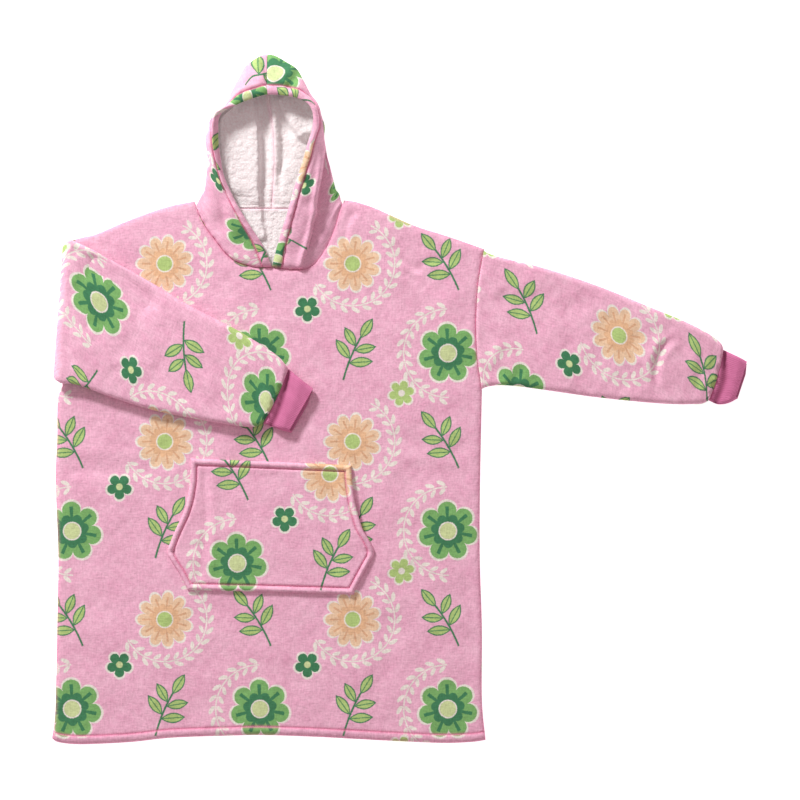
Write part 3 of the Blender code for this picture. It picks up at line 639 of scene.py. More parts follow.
def shell(name, node, outside, inside, u, v, cloth, around=False, tint=None):
    """A closed piece between two grids of points, with its places on the flat cloth as UVs in metres."""
    rows, columns = outside.shape[:2]
    count = rows * columns
    spans = columns if around else columns - 1
    r, c = (a.ravel() for a in np.meshgrid(np.arange(rows - 1), np.arange(spans), indexing="ij"))
    row = np.stack([r, r, r + 1, r + 1], 1)
    column = np.stack([c, c + 1, c + 1, c], 1)
    face = row * columns + column % columns
    place = row * u.shape[1] + np.minimum(column, u.shape[1] - 1)
    faces, places = [face, face[:, ::-1] + count], [place, place[:, ::-1]]

    def rim(a, b, place_a, place_b):
        faces.append(np.stack([b, a, a + count, b + count], 1))
        places.append(np.stack([place_b, place_a, place_a, place_b], 1))

    c = np.arange(spans)
    last = (rows - 1) * columns
    last_place = (rows - 1) * u.shape[1]
    next_place = np.minimum(c + 1, u.shape[1] - 1)
    rim(c, (c + 1) % columns, c, next_place)
    rim(last + (c + 1) % columns, last + c, last_place + next_place, last_place + c)
    if not around:
        r = np.arange(rows - 1)
        edge = columns - 1
        rim((r + 1) * columns, r * columns, (r + 1) * columns, r * columns)
        rim(r * columns + edge, (r + 1) * columns + edge, r * columns + edge, (r + 1) * columns + edge)
    faces, places = np.concatenate(faces), np.concatenate(places)
    points = np.vstack([outside.reshape(-1, 3), inside.reshape(-1, 3)]) * MM
    a, b, c, d = (points[faces[:, i]] for i in range(4))
    if np.einsum("ij,ij->i", a, np.cross(b, c) + np.cross(c, d)).sum() < 0:
        faces, places = faces[:, ::-1], places[:, ::-1]
    mesh = bpy.data.meshes.new(name)
    mesh.from_pydata(points.tolist(), [], faces.tolist())
    flat = np.column_stack([u.ravel(), v.ravel()]) * MM
    mesh.uv_layers.new(name="cloth").data.foreach_set("uv", flat[places.ravel()].astype(np.float32).ravel())
    # The tint is kept as the mesh's seam attribute: painted shade for the fleece and the knit, the pile's own
    # seam colour for the lining.
    if tint is not None:
        shade = np.concatenate([tint.ravel(), tint.ravel()]).astype(np.float32)
        mesh.attributes.new("seam", "FLOAT", "POINT").data.foreach_set("value", shade)
    mesh.shade_smooth()
    mesh.set_sharp_from_angle(angle=math.radians(65))
    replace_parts(add_piece(name, mesh, cloth), node)


def roll(distance, depth=ROLL_DEPTH, width=ROLL_WIDTH):
    """How far a cloth edge drops at a distance from it."""
    return depth * rounding(distance, width)


def fold_relief(folds, x, y, fade=FOLD_FADE, waver=0.0):
    """Height of the soft folds at plan points. One with two widths is steeper on one side than the other."""
    height = np.zeros_like(x)
    for x0, y0, x1, y1, bend, *widths, rise in folds:
        length = math.hypot(x1 - x0, y1 - y0)
        along = ((x - x0) * (x1 - x0) + (y - y0) * (y1 - y0)) / length**2
        side = ((y - y0) * (x1 - x0) - (x - x0) * (y1 - y0)) / length
        side = side - bend * 4 * along * (1 - along)
        if waver:
            side = side + waver * ripple(0 * y, y, WAVER_LENGTH, 51)
        ends = smooth(unit(np.minimum(along, 1 - along) * fade[0] + fade[1]))
        height += rise * bell(side, np.where(side > 0, widths[0], widths[-1])) * ends
    return height


def flap_relief(flaps, x, y):
    """Height of the lining's flaps, whose edges run unevenly."""
    return fold_relief(flaps, x, y, FLAP_FADE, FLAP_WAVER)


def pressed_share(x, y):
    """0 where something lies on the front, rising to 1 away from it."""
    share = np.ones_like(x)
    for x0, x1, y0, y1 in PRESSED:
        away = np.maximum(np.maximum(x0 - x, x - x1), np.maximum(y0 - y, y - y1))
        share = np.minimum(share, unit(away / PRESSED_FADE))
    return share


def panel_plan(columns, from_hem, from_top, share, top_edge):
    """Plan points of a body panel, and each point's distance from its nearest edge and from the hem."""
    near_right = unit(1 - (columns - RIGHT_X) / SIDE_REACH) ** 2
    near_left = unit(1 - (LEFT_X - columns) / SIDE_REACH) ** 2
    x = np.tile(columns, (len(share), 1))
    from_hem, from_top, share = (a[:, None] for a in (from_hem, from_top, share))
    for _ in range(4):
        low = graph(HEM, x)
        high = line(top_edge, x)
        y = (1 - share) * (low + from_hem) + share * (high - from_top)
        right_shift = side_x(RIGHT_ARMHOLE, RIGHT_SIDE, y) + SEAM_GAP / 2 - RIGHT_X
        left_shift = side_x(LEFT_ARMHOLE, LEFT_SIDE, y) - SEAM_GAP / 2 - LEFT_X
        x = columns + near_right * right_shift + near_left * left_shift
    sides = np.tile(np.minimum(columns - RIGHT_X, LEFT_X - columns), (len(share), 1))
    top = np.maximum(high - y, 0)
    close = top < TOP_REACH
    top[close] = from_line(np.column_stack([x[close], y[close]]), np.column_stack([x[-1], y[-1]]))
    edge = np.minimum(np.minimum(sides, top), y - low)
    return x, y, np.maximum(edge, 0), y - low


def from_line(points, path):
    """Distance of plan points from a line of straight steps."""
    start, step = path[:-1], np.diff(path, axis=0)
    size = np.maximum(np.einsum("ij,ij->i", step, step), 1e-9)
    gap = points[:, None] - start
    share = unit(np.einsum("pij,ij->pi", gap, step) / size)
    return np.linalg.norm(gap - share[:, :, None] * step, axis=2).min(1)


def panel_rows(step, hem_lines, top_lines=EDGE_LINES):
    """Rows of a panel: distance from the hem, from the top, and share of the height."""
    count = round(PANEL_HEIGHT / step)
    shares = np.concatenate([np.zeros(len(hem_lines)), np.arange(1, count) / count, np.ones(len(top_lines))])
    from_hem = np.full(len(shares), float(hem_lines[-1]))
    from_hem[: len(hem_lines)] = hem_lines
    from_top = np.full(len(shares), float(top_lines[-1]))
    from_top[-len(top_lines) :] = top_lines[::-1]
    return from_hem, from_top, shares


def seam_pucker(x, y, edge):
    """Small lumps where a seam draws the cloth in."""
    return waves(PUCKER_WAVES, x, y) * bell(edge, PUCKER_WIDTH) * unit(edge / 2)


def shoulder_edge():
    """Both shoulder seams as plan points."""
    seams = [curve(seam, np.linspace(0, 6, 37)) for seam in (RIGHT_SHOULDER, LEFT_SHOULDER)]
    return [tuple(point) for point in np.vstack(seams)]


def build_front():
    right, left = neck_points(-1, 5)[::-1], neck_points(1, 5)
    neck = np.vstack([right, left[1:]])
    top_edge = shoulder_edge() + [tuple(point) for point in neck]
    right_part = grid_lines(neck[0, 0] - RIGHT_X, FRONT_STEP)[:-3] + RIGHT_X
    left_part = LEFT_X - grid_lines(LEFT_X - neck[-1, 0], FRONT_STEP)[:-3][::-1]
    columns = np.concatenate([right_part, neck[:, 0], left_part])
    x, y, edge, from_hem = panel_plan(columns, *panel_rows(FRONT_STEP, HEM_LINES), top_edge)
    away = unit(edge / FOLDS_FROM_EDGE)
    relief = fold_relief(FRONT_FOLDS, x, y) * pressed_share(x, y) * away
    relief += waves(FRONT_WAVES, x, y) * away
    hem = bell(from_hem, HEM_WAVE_WIDTH) * unit(from_hem / 4)
    relief += waves(HEM_WAVES, x, y * HEM_WAVE_STRETCH) * hem
    middle, reach, lowest, less = NECK_EDGE
    at_neck = unit((reach - np.abs(x - middle)) / 12) * unit((y - lowest) / 10)
    height = FRONT_TOP - roll(edge) * (1 - less * at_neck) + relief
    height += seam_pucker(x, y, edge) + line(HEM_BAND, from_hem)
    top = np.dstack([x, y, np.maximum(height, FRONT_BASE + 0.3)])
    base = np.dstack([x, y, np.full_like(x, FRONT_BASE)])
    # Painted shade along the hem's stitched groove and, at half strength, along the panel's rolled edges.
    stitched = bell(from_hem - HEM_STITCH_LINE, STITCH_SHADE_WIDTH)
    tint = np.maximum(stitched, 0.5 * bell(edge, SEAM_SHADE_WIDTH))
    shell("front_cloth", "front_panel", top, base, x, y, FLEECE, tint=tint)
    return top


def build_back():
    right_neck, left_neck = RIGHT_SHOULDER[-1][0], LEFT_SHOULDER[-1][0]
    top_edge = shoulder_edge() + [(right_neck + 1, BACK_NECK_Y), (left_neck - 1, BACK_NECK_Y)]
    right_part = grid_lines(right_neck - RIGHT_X, BACK_STEP)[:-1] + RIGHT_X
    left_part = LEFT_X - grid_lines(LEFT_X - left_neck, BACK_STEP)[:-1][::-1]
    middle = np.linspace(right_neck + 1, left_neck - 1, 24)
    columns = np.concatenate([right_part, middle, left_part])
    x, y, edge, _ = panel_plan(columns, *panel_rows(BACK_STEP, EDGE_LINES), top_edge)
    base = np.dstack([x, y, roll(edge, BACK_ROLL_DEPTH, BACK_ROLL_WIDTH)])
    top = np.dstack([x, y, np.full_like(x, PANEL_WALL)])
    shell("back_cloth", "back_panel", base, top, -x, y, FLEECE)


def section(upper, lower, height, thickness, across):
    """Outside and inside loops round a flattened tube, from its lower edge: place across, height."""
    width = math.dist(upper, lower)
    across = np.asarray(across) * width / across[-1]

    def loop(places, inset, rise):
        near = np.clip(np.minimum(places, width - places) - inset, 0, None)
        near = unit(near / (SLEEVE_ROUNDING * rise))
        half = rise / 2 * np.sqrt(1 - (1 - near) ** 2)
        underside = np.column_stack([places, height / 2 - half])[::-1]
        return np.vstack([underside, np.column_stack([places, height / 2 + half])[1:-1]])

    inside = thickness + across * (width - 2 * thickness) / width
    return loop(across, 0, height), loop(inside, thickness, height - 2 * thickness)


def lay(loop, upper, lower):
    """Plan points and heights of a section's loop between its two ends, and the share across."""
    share = loop[:, 0] / np.linalg.norm(lower - upper)
    plan = upper + (lower - upper) * share[:, None]
    return np.column_stack([plan, loop[:, 1]]), share


def crease(points, height, lift, folds, rows):
    """Sinks and raises the upper side of a section by its folds and ripples."""
    upper_side = unit(2 * (points[:, 2] - lift) / height - 1)
    x, y = points[:, 0], points[:, 1]
    points[:, 2] += (fold_relief(folds, x, y) + waves(rows, x, y)) * upper_side


def tube_places(outside):
    """UVs round and along a tube: distance from its upper edge, and along its middle."""
    closed = np.concatenate([outside, outside[:, :1]], axis=1)
    around = run(closed, 1)
    upper = outside.shape[1] // 2
    v = around[:, upper : upper + 1] - around
    middle = outside.mean(1)[:, None]
    return np.tile(run(middle, 0), (1, closed.shape[1])), v


def middle_line(table):
    """The middle of each row of a sleeve's or cuff's table."""
    table = np.asarray(table, float)
    return (table[:, :2] + table[:, 2:4]) / 2


def place_rows(table, step):
    """Rows of a sleeve or cuff, close together at both ends, counted in the table's rows, and its length."""
    places = np.linspace(0, len(table) - 1, 200)
    dense = run(curve(middle_line(table), places)[:, None], 0)[:, 0]
    return np.interp(grid_lines(dense[-1], step), dense, places), dense[-1]


def end_share(table, place):
    """Share of a sleeve's dive to its cuff that is done at a row."""
    left = (len(table) - 1 - place) * math.dist(*middle_line(table)[-2:])
    return rounding(left, END_DIVE_LENGTH)


def dive_to_cuff(points, upper, lower, lift, share):
    """Brings the end of a sleeve down to its cuff, with small gathers and a slight bow."""
    width = np.linalg.norm(lower - upper)
    across = (lower - upper) / width
    place = (points[:, :2] - upper) @ across
    bow = END_BOW * (1 - (2 * unit(place / width) - 1) ** 2) * (share > 0)
    points[:, :2] += np.outer(bow * min(1, 2 * share), (-across[1], across[0]))
    gathers = 1 + waves(GATHER_WAVES, place, 0 * place) * (share > GATHERS_FROM)
    points[:, 2] = lift + (points[:, 2] - lift) * (1 - END_DIVE * share) * gathers


def tube_section(upper, lower, height, thickness, across):
    """Outside and inside of a flattened tube's section as points, each with their share across."""
    return [lay(loop, upper, lower) for loop in section(upper, lower, height, thickness, across)]


def tube_shell(name, node, rings, cloth, tint=None):
    """A piece from the rings of a tube's outside and of its inside."""
    outside, inside = np.array(rings[0]), np.array(rings[1])
    shell(name, node, outside, inside, *tube_places(outside), cloth, around=True, tint=tint)


def build_left_sleeve():
    rings = [], []
    across = grid_lines(SLEEVE_WIDTH, SLEEVE_STEP)
    rows, length = place_rows(LEFT_SLEEVE, SLEEVE_STEP)
    for place in rows:
        upper, lower, (height, thickness) = np.split(curve(LEFT_SLEEVE, place), (2, 4))
        cap = max(0, 1 - place / CAP_ROWS) ** 2
        start = place / (len(LEFT_SLEEVE) - 1) * length
        share = 1 - SLEEVE_SEAM_DEPTH * rounding(start, SLEEVE_SEAM_WIDTH)
        end = end_share(LEFT_SLEEVE, place)
        for layer, (points, _) in enumerate(tube_section(upper, lower, height, thickness, across)):
            seam = graph(LEFT_ARMHOLE, points[:, 1]) + SEAM_GAP / 2
            points[:, 0] += cap * (seam - points[:, 0])
            if layer == 0:
                crease(points, height, 0, LEFT_SLEEVE_FOLDS, LEFT_SLEEVE_WAVES)
                points[:, 2] += seam_pucker(points[:, 0], points[:, 1], np.full(len(points), start))
            points[:, 2] = FRONT_BASE + (points[:, 2] - FRONT_BASE) * share
            dive_to_cuff(points, upper, lower, 0, end)
            rings[layer].append(points)
    tube_shell("left_sleeve_cloth", "left_sleeve", rings, FLEECE)


def build_right_sleeve():
    upper, lower, (height, thickness, _, _) = np.split(np.array(RIGHT_SLEEVE[0], float), (2, 4))
    along = (lower - upper) / np.linalg.norm(lower - upper)
    outward = np.array([along[1], -along[0]])
    upper, lower = upper + SEAM_GAP / 2 * outward, lower + SEAM_GAP / 2 * outward
    across = grid_lines(SLEEVE_WIDTH, SLEEVE_STEP)
    rings = [], []
    for step in range(FOLD_STEPS):
        angle = math.pi * step / FOLD_STEPS
        upper_pull, lower_pull = np.multiply(FOLD_END_PULL, math.sin(angle) ** 2)
        ends = upper + along * upper_pull, lower - along * lower_pull
        for layer, (points, _) in enumerate(tube_section(*ends, height, thickness, across)):
            radius = FOLD_AXIS_Z - points[:, 2]
            plan = points[:, :2] + outward * (radius * math.sin(angle))[:, None]
            rings[layer].append(np.column_stack([plan, FOLD_AXIS_Z - radius * math.cos(angle)]))
    for place in place_rows(RIGHT_SLEEVE, SLEEVE_STEP)[0]:
        upper, lower, measures = np.split(curve(RIGHT_SLEEVE, place), (2, 4))
        height, thickness, lift_upper, lift_lower = measures
        for layer, (points, share) in enumerate(tube_section(upper, lower, height, thickness, across)):
            lift = lift_upper + (lift_lower - lift_upper) * share
            points[:, 2] = height - points[:, 2] + lift
            if layer == 0:
                crease(points, height, lift, RIGHT_SLEEVE_FOLDS, RIGHT_SLEEVE_WAVES)
            dive_to_cuff(points, upper, lower, lift_upper, end_share(RIGHT_SLEEVE, place))
            rings[layer].append(points)
    tube_shell("right_sleeve_cloth", "right_sleeve", rings, FLEECE)


def build_cuff(name, table, valley):
    """A ribbed cuff, with ribs as fine waves round its outside, and a valley with painted shade beside its
    seam.
    """
    rings, tint = ([], []), []
    width = math.dist(table[0][:2], table[0][2:4])
    ribs = round(width / RIB_PITCH)
    across = np.linspace(0, width, ribs * 6 + 1)
    wave = RIB_DEPTH * np.cos(np.linspace(0, 2 * math.pi * ribs, ribs * 6 + 1))
    rib = np.concatenate([wave[::-1], wave[1:-1]])
    middle = middle_line(table)
    axis = (middle[-1] - middle[0]) / np.linalg.norm(middle[-1] - middle[0])
    rows, length = place_rows(table, CUFF_STEP)
    for place in rows:
        upper, lower, (height, lift) = np.split(curve(table, place), (2, 4))
        from_seam = place / (len(table) - 1) * length
        out = CUFF_LAYER_SHIFT * (place / (len(table) - 1)) ** 2
        for layer, (points, share) in enumerate(tube_section(upper, lower, height, CUFF_WALL, across)):
            upper_side = 2 * points[:, 2] / height - 1
            on_top = unit(2 * upper_side)
            deepest = np.interp(share, np.linspace(0, 1, len(valley)), valley)
            hollow = bell(from_seam - deepest, CUFF_VALLEY_WIDTH)
            swell = bell(from_seam - 0.3 * deepest, CUFF_ROLL_WIDTH)
            folds = fold_relief(CUFF_FOLDS, points[:, 0], points[:, 1])
            points[:, 2] += (folds + CUFF_ROLL * swell - CUFF_VALLEY_DEPTH * hollow) * on_top
            if layer == 0:
                points[:, 2] += (rib - RIB_DEPTH) * upper_side
                # Painted shade: the valley is marked here for the knit's material to darken.
                tint.append(hollow * on_top)
            lower_side = unit(0.6 - 0.8 * upper_side) * unit(share * 3)
            points[:, :2] += np.outer(out * lower_side, axis)
            points[:, 2] += lift
            rings[layer].append(points)
    tube_shell(name + "_knit", name, rings, KNIT, tint=np.array(tint))


def build_pocket():
    sides = np.asarray(POCKET_SIDES, float)
    near = np.asarray(POCKET_LINES)

    def banded(length):
        places = grid_lines(length, POCKET_STEP, near)
        share = unit((places - near[-1]) / (length - 2 * near[-1]))
        return np.minimum(places, near[-1]), np.minimum(length - places, near[-1]), share

    from_right, from_left, across = (a[None, :] for a in banded(POCKET_SPAN[0]))
    from_low, from_high, up = (a[:, None] for a in banded(POCKET_SPAN[1]))
    x = across * POCKET_TOP[-1][0] + (1 - across) * POCKET_TOP[0][0] + 0 * up
    for _ in range(6):
        low, high = graph(POCKET_BOTTOM, x), graph(POCKET_TOP, x)
        y = (1 - up) * (low + from_low) + up * (high - from_high)
        right, left = graph(sides[:, [0, 1]], y), graph(sides[:, [0, 2]], y)
        x = (1 - across) * (right + from_right) + across * (left - from_left)
    edge = np.minimum(np.minimum(x - right, left - x), np.minimum(y - low, high - y))
    inner = unit((edge - 12) / 14)
    relief = fold_relief(POCKET_FOLDS, x, y) + waves(POCKET_WAVES, x, y)
    band = waves(POCKET_BAND_WAVES, x, y) * bell(edge - 7, 6)
    height = line(POCKET_BAND, edge) + relief * inner + band
    height += fold_relief(POCKET_NOTCHES, x, y) * unit(edge / 3)
    (low_y, low_rise), (high_y, high_rise) = POCKET_GAPE_FROM, POCKET_GAPE_TO
    proud = unit((y - low_y) / low_rise) * unit((high_y - y) / high_rise)
    height += POCKET_GAPE * proud * np.exp(-((left - x) / POCKET_GAPE_WIDTH)) * unit((left - x) / 1.5 + 0.4)
    top = np.dstack([x, y, POCKET_BASE + np.maximum(height, 0.6)])
    base = np.dstack([x, y, np.full_like(x, POCKET_BASE)])
    # Painted shade in the stitched valley inside the pocket's band.
    shade_line, shade_width, strength = POCKET_SHADE
    tint = strength * bell(edge - shade_line, shade_width)
    u, v = x + POCKET_CUT[0], y + POCKET_CUT[1]
    shell("pocket_cloth", "pocket", top, base, u, v, FLEECE, tint=tint)
    return top


def neck_row(side, columns):
    """The hood's neck seam, from the centre front round to the centre back: distance, y, height."""
    table = np.asarray(RIGHT_NECK if side < 0 else LEFT_NECK, float)
    steps = np.gradient(table, axis=0)
    normal = np.column_stack([-steps[:, 1], steps[:, 0]])
    normal = normal / np.linalg.norm(normal, axis=1)[:, None]
    front = np.column_stack([table + SEAM_GAP * normal, NECK_HEIGHTS])
    front[0] = (0, table[0, 1] + SEAM_GAP, NECK_HEIGHTS[0])
    back = np.asarray(RIGHT_BACK_NECK if side < 0 else LEFT_BACK_NECK, float)
    back[0] = front[-1]
    columns = np.asarray(columns)
    return np.where(
        (columns <= 0.5)[:, None],
        curve(front, columns * 2 * (len(front) - 1)),
        curve(back, (columns - 0.5) * 2 * (len(back) - 1)),
    )


def hood_grid(side, depth, columns, rows):
    """Points of one half of the hood at a depth into its wall, which may differ from point to point."""
    table = np.asarray(RIGHT_HOOD if side < 0 else LEFT_HOOD, float)
    crossing = [neck_row(side, columns)]
    crossing += [curve(points, np.asarray(columns) * 4) for points in table]
    crossing.append(crossing[-2] * (-1, 1, 1))
    inward = [(-1.0, 0.0)]
    for points in table:
        step = points[3, :2] - points[2, :2]
        inward.append(tuple(step / np.linalg.norm(step)))
    inward.append(inward[-1])
    surface = curve(crossing, rows)
    direction = curve(inward, rows)
    direction = direction / np.linalg.norm(direction, axis=1)[:, None]
    angle = np.radians(line(WALL_TURN, columns))
    depth = np.broadcast_to(depth, surface.shape[:2])
    grid = surface.copy()
    grid[:, :, :2] += (depth * np.cos(angle))[:, :, None] * direction[:, None, :]
    grid[:, :, 2] = np.maximum(surface[:, :, 2], 0) + depth * np.sin(angle)
    distance = np.maximum(grid[:, :, 0], 0) + SEAM_GAP / 2
    x = centre_x(grid[:, :, 1]) + side * distance
    return np.dstack([x, grid[:, :, 1], grid[:, :, 2]])


def hood_base(side, count, rows):
    """The hood's outer surface on dense columns, and the step into its wall at each point."""
    columns = np.linspace(0, 1, count)
    along = np.concatenate([[0, 0.01, 0.03, 0.06], np.linspace(0.1, 9.95, rows), [9.98, 10]])
    flat = hood_grid(side, 0, columns, along)
    return flat, hood_grid(side, 1, columns, along) - flat, columns


def upper_share(columns):
    """1 on the hood's upper side, 0 on its underside."""
    return unit((UPPER_END[0] - columns) / UPPER_END[1])


def along_rows(grid, from_rim, places):
    """A grid's values at other distances along its rows, given as distance and share of what is left."""
    result = []
    for values, distance in zip(grid, from_rim):
        near, share = places
        at = near + share * (distance[-1] - near.max())
        result.append(np.column_stack([np.interp(at, distance, column) for column in values.T]))
    return np.array(result)


def crest_drop(side, x, y):
    """How far the wearer's left side of the hood drops behind the crest of its fold."""
    if side < 0:
        return np.zeros_like(x)
    past = x - graph(HOOD_CREST, y)
    ends = unit((CREST_END[0] - y) / CREST_END[1]) * unit((y - CREST_START[0]) / CREST_START[1])
    step = smooth(unit((past + 1) / 3.6))
    before, width, rise = CREST_RIDGE
    ridge = rise * bell(past + before, width)
    return (CREST_DROP * step * np.exp(-np.clip(past - 8, 0, None) / 30) - ridge) * ends


def neck_drop(from_neck, z, floor):
    """How far the hood's edge comes down to the front's at its neck seam."""
    return rounding(from_neck, NECK_DROP_WIDTH) * np.clip(z - floor, 0, None)


def hood_layer(side, flat, inward, depth, upper, from_neck, floor):
    """One side of the hood's cloth or of its lining, at a depth into its wall."""
    grid = flat + inward * depth[:, :, None]
    x, y, z = grid[:, :, 0], grid[:, :, 1], grid[:, :, 2]
    plan_x, plan_y = flat[:, :, 0], flat[:, :, 1]
    ground = floor + HOOD_CLEARANCE * unit(from_neck / 20)
    moved = z + fold_relief(HOOD_FOLDS, plan_x, plan_y) - crest_drop(side, plan_x, plan_y)
    z = z + upper * (np.maximum(moved, np.minimum(z, ground)) - z)
    z = z - upper * neck_drop(from_neck, z, floor)
    middle = centre_x(y)
    x = middle + side * np.maximum(side * (x - middle), SEAM_GAP / 2)
    return np.dstack([x, y, np.maximum(z, 0)])


def build_hood(side, name):
    flat, inward, columns = hood_base(side, *HOOD_GRID)
    from_rim = run(flat, 1)
    near = np.array(RIM_LINES)
    rest = np.linspace(0, 1, 80)[1:]
    places = np.concatenate([near, np.full(len(rest), near[-1])]), np.concatenate([0 * near, rest])
    stacked = np.dstack([flat, inward, np.tile(columns, (len(flat), 1))])
    stacked = along_rows(stacked, from_rim, places)
    flat, inward, column = stacked[:, :, :3], stacked[:, :, 3:6], stacked[:, :, 6]
    from_rim, from_neck = run(flat, 1), run(flat, 0)
    from_back, from_crown = from_rim[:, -1:] - from_rim, from_neck[-1:] - from_neck
    u, v = from_back.copy(), np.tile(from_neck[:, 30:31], (1, flat.shape[1]))
    band = np.arange(flat.shape[1])[None, :] < np.searchsorted(near, HOOD_BAND_WIDTH)
    u, v = u + RIM_CUT[0] * band, v + RIM_CUT[1] * band
    upper = upper_share(column)
    seam = roll(np.minimum(from_crown, from_back + 40 * upper), 1.8, 9)
    height, length, seed = HOOD_WAVE
    relief = height * ripple(flat[:, :, 0], flat[:, :, 1], length, seed + side) * unit(from_rim / 20)
    relief += waves(NECK_WAVES, from_back, v * 0.3) * bell(from_neck, 16)
    relief += waves(RIM_WAVES, from_neck, from_rim * 0.5) * bell(from_rim - 10, 9)
    relief += 0.9 * bell(from_rim - 24, 1.6) * (side > 0)
    depth = np.maximum((line(HOOD_RIM_BAND, from_rim) + relief) * upper, -5.2) + seam
    outside = hood_layer(side, flat, inward, depth, upper, from_neck, FRONT_BASE + 3)
    wall = np.maximum(depth + 0.8, HOOD_WALL)
    inside = hood_layer(side, flat, inward, wall, upper, from_neck, FRONT_BASE + 1)
    outside, inside = round_rim(outside, inside, from_rim)
    # Painted shade along the rim's stitched groove and, weaker, along the neck seam.
    stitched = bell(from_rim - HOOD_BAND_WIDTH, STITCH_SHADE_WIDTH)
    tint = np.maximum(stitched, 0.6 * bell(from_neck, SEAM_SHADE_WIDTH))
    shell(f"{name}_hood_cloth", f"{name}_hood", outside, inside, side * u, v, FLEECE, tint=tint)
    return outside


def round_rim(outside, inside, from_rim):
    """Draws a shell's two sides together at its rim, so that it is round."""
    middle = (outside + inside) / 2
    near = 1 - unit(from_rim / 1.8)
    share = np.maximum(np.sqrt(1 - near**2), 0.08)[:, :, None]
    return middle + (outside - middle) * share, middle + (inside - middle) * share


def build_hood_lining(side, name):
    flat, inward, columns = hood_base(side, *LINING_GRID)
    base = HOOD_WALL + SEAM_GAP
    from_rim, from_neck = run(flat, 1), run(flat, 0)
    from_back, from_crown = from_rim[:, -1:] - from_rim, from_neck[-1:] - from_neck
    upper = upper_share(columns)[None, :]
    seam = np.minimum(from_back, np.minimum(from_crown, from_neck))
    lumps = pile_lumps(flat + inward * base)
    edge = np.clip(from_rim / 3, 0.35, 1)
    rise = (LINING_WALL - 1.3 + lumps * (1 - 0.6 * upper)) * edge + lining_seam(seam, 0.9) * (1 - upper)
    rise = rise + flap_relief(PILE_FLAPS, flat[:, :, 0], flat[:, :, 1]) * (1 - upper)
    outer = np.full_like(rise, base)
    back = hood_layer(side, flat, inward, outer, upper, from_neck, FRONT_BASE + 0.2)
    front = hood_layer(side, flat, inward, base + np.maximum(rise, 0.5), upper, from_neck, FRONT_BASE + 0.6)
    u, tint = side * from_back, bell(seam, PILE_SHADE_WIDTH)
    shell(f"{name}_hood_pile", f"{name}_hood_lining", front, back, u, from_neck, PILE, tint=tint)


def lining_seam(distance, ridge):
    """Height of the pile at a seam: a groove, with a ridge beside it."""
    (line, width), (depth, groove) = PILE_RIDGE, PILE_GROOVE
    return ridge * bell(distance - line, width) - depth * bell(distance, groove)


def pile_lumps(points):
    """Height of the curly pile over a grid of points."""
    flat = points.reshape(-1, 3)
    lumps = sum(height * curls(flat + shift, size, seed) for height, size, shift, seed in PILE_LUMPS)
    return lumps.reshape(points.shape[:2])


def build_neck_lining():
    """The pile inside the back, which shows through the open neck."""
    neck = np.vstack([neck_points(-1, 8)[40:0:-1], neck_points(1, 8)[:41]])
    start = neck[0, 0]
    x = np.linspace(start, neck[-1, 0], 130)
    low = np.interp(x, neck[:, 0], neck[:, 1]) + 4.0
    shares = np.linspace(0, 1, 64)[:, None]
    y = low * (1 - shares) + (BACK_NECK_Y - SEAM_GAP) * shares
    x = np.tile(x, (len(shares), 1))
    base = np.dstack([x, y, np.full_like(x, FRONT_BASE)])
    seam = BACK_NECK_Y - y
    rise = NECK_LINING_WALL - 1.2 + pile_lumps(base) + flap_relief(NECK_FLAPS, x, y)
    rise += lining_seam(seam, 0.6)
    from_neck = from_line(np.column_stack([x.ravel(), y.ravel()]), neck).reshape(x.shape)
    rise *= np.clip(from_neck / 22, 0.1, 1)
    top = np.dstack([x, y, FRONT_BASE + np.maximum(rise, 0.4)])
    shell("back_pile", "back_lining", top, base, x, y, PILE, tint=bell(seam, PILE_SHADE_WIDTH))


def stitches(name, path):
    """A row of thread dashes that lie along a path on the cloth."""
    path = np.asarray(path, float)
    along = run(path[:, None], 0)[:, 0]
    starts = np.arange(STITCH_PITCH / 2, along[-1] - STITCH_PITCH, STITCH_PITCH)
    share = np.array([0, 0.25, 0.75, 1])
    width = np.array([0.35, 1, 1, 0.35]) * THREAD_WIDTH / 2
    turn = np.linspace(0, 2 * math.pi, THREAD_SIDES, endpoint=False)
    points, faces = [], []
    for start in starts:
        at = start + share * STITCH_LENGTH
        middle = np.column_stack([np.interp(at, along, path[:, i]) for i in range(3)])
        ahead = middle[-1] - middle[0]
        ahead /= np.linalg.norm(ahead)
        across = np.cross(ahead, (0, 0, 1))
        across /= np.linalg.norm(across)
        up = np.cross(across, ahead)
        first = len(points) * THREAD_SIDES
        for centre, reach, lift in zip(middle, width, STITCH_LIFT * np.array([-0.6, 1, 1, -0.6])):
            ring = np.outer(np.cos(turn), across) + np.outer(np.sin(turn), up)
            points.append(centre + up * lift + ring * reach)
        for ring in range(len(share) - 1):
            low = first + ring * THREAD_SIDES
            for i in range(THREAD_SIDES):
                j = (i + 1) % THREAD_SIDES
                faces.append((low + i, low + j, low + THREAD_SIDES + j, low + THREAD_SIDES + i))
        last = first + (len(share) - 1) * THREAD_SIDES
        faces.append(tuple(range(first + THREAD_SIDES - 1, first - 1, -1)))
        faces.append(tuple(range(last, last + THREAD_SIDES)))
    mesh = bpy.data.meshes.new(name)
    mesh.from_pydata((np.vstack(points) * MM).tolist(), [], faces)
    mesh.shade_smooth()
    return add_piece(name, mesh, THREAD)


def pocket_stitch_path(top):
    """The valley inside the pocket's band, all round."""
    k = POCKET_LINES.index(POCKET_STITCH_LINE)
    sides = (top[k, k:-k], top[k:-k, -1 - k], top[-1 - k, k:-k][::-1], top[k:-k, k][::-1])
    return np.vstack(sides)


def feed(tree, entry, value):
    """Gives a node's entry a number or a colour, or links it."""
    socket = value.socket if isinstance(value, Term) else value
    if isinstance(socket, bpy.types.NodeSocket):
        tree.links.new(socket, entry)
    elif value is not None:
        entry.default_value = value


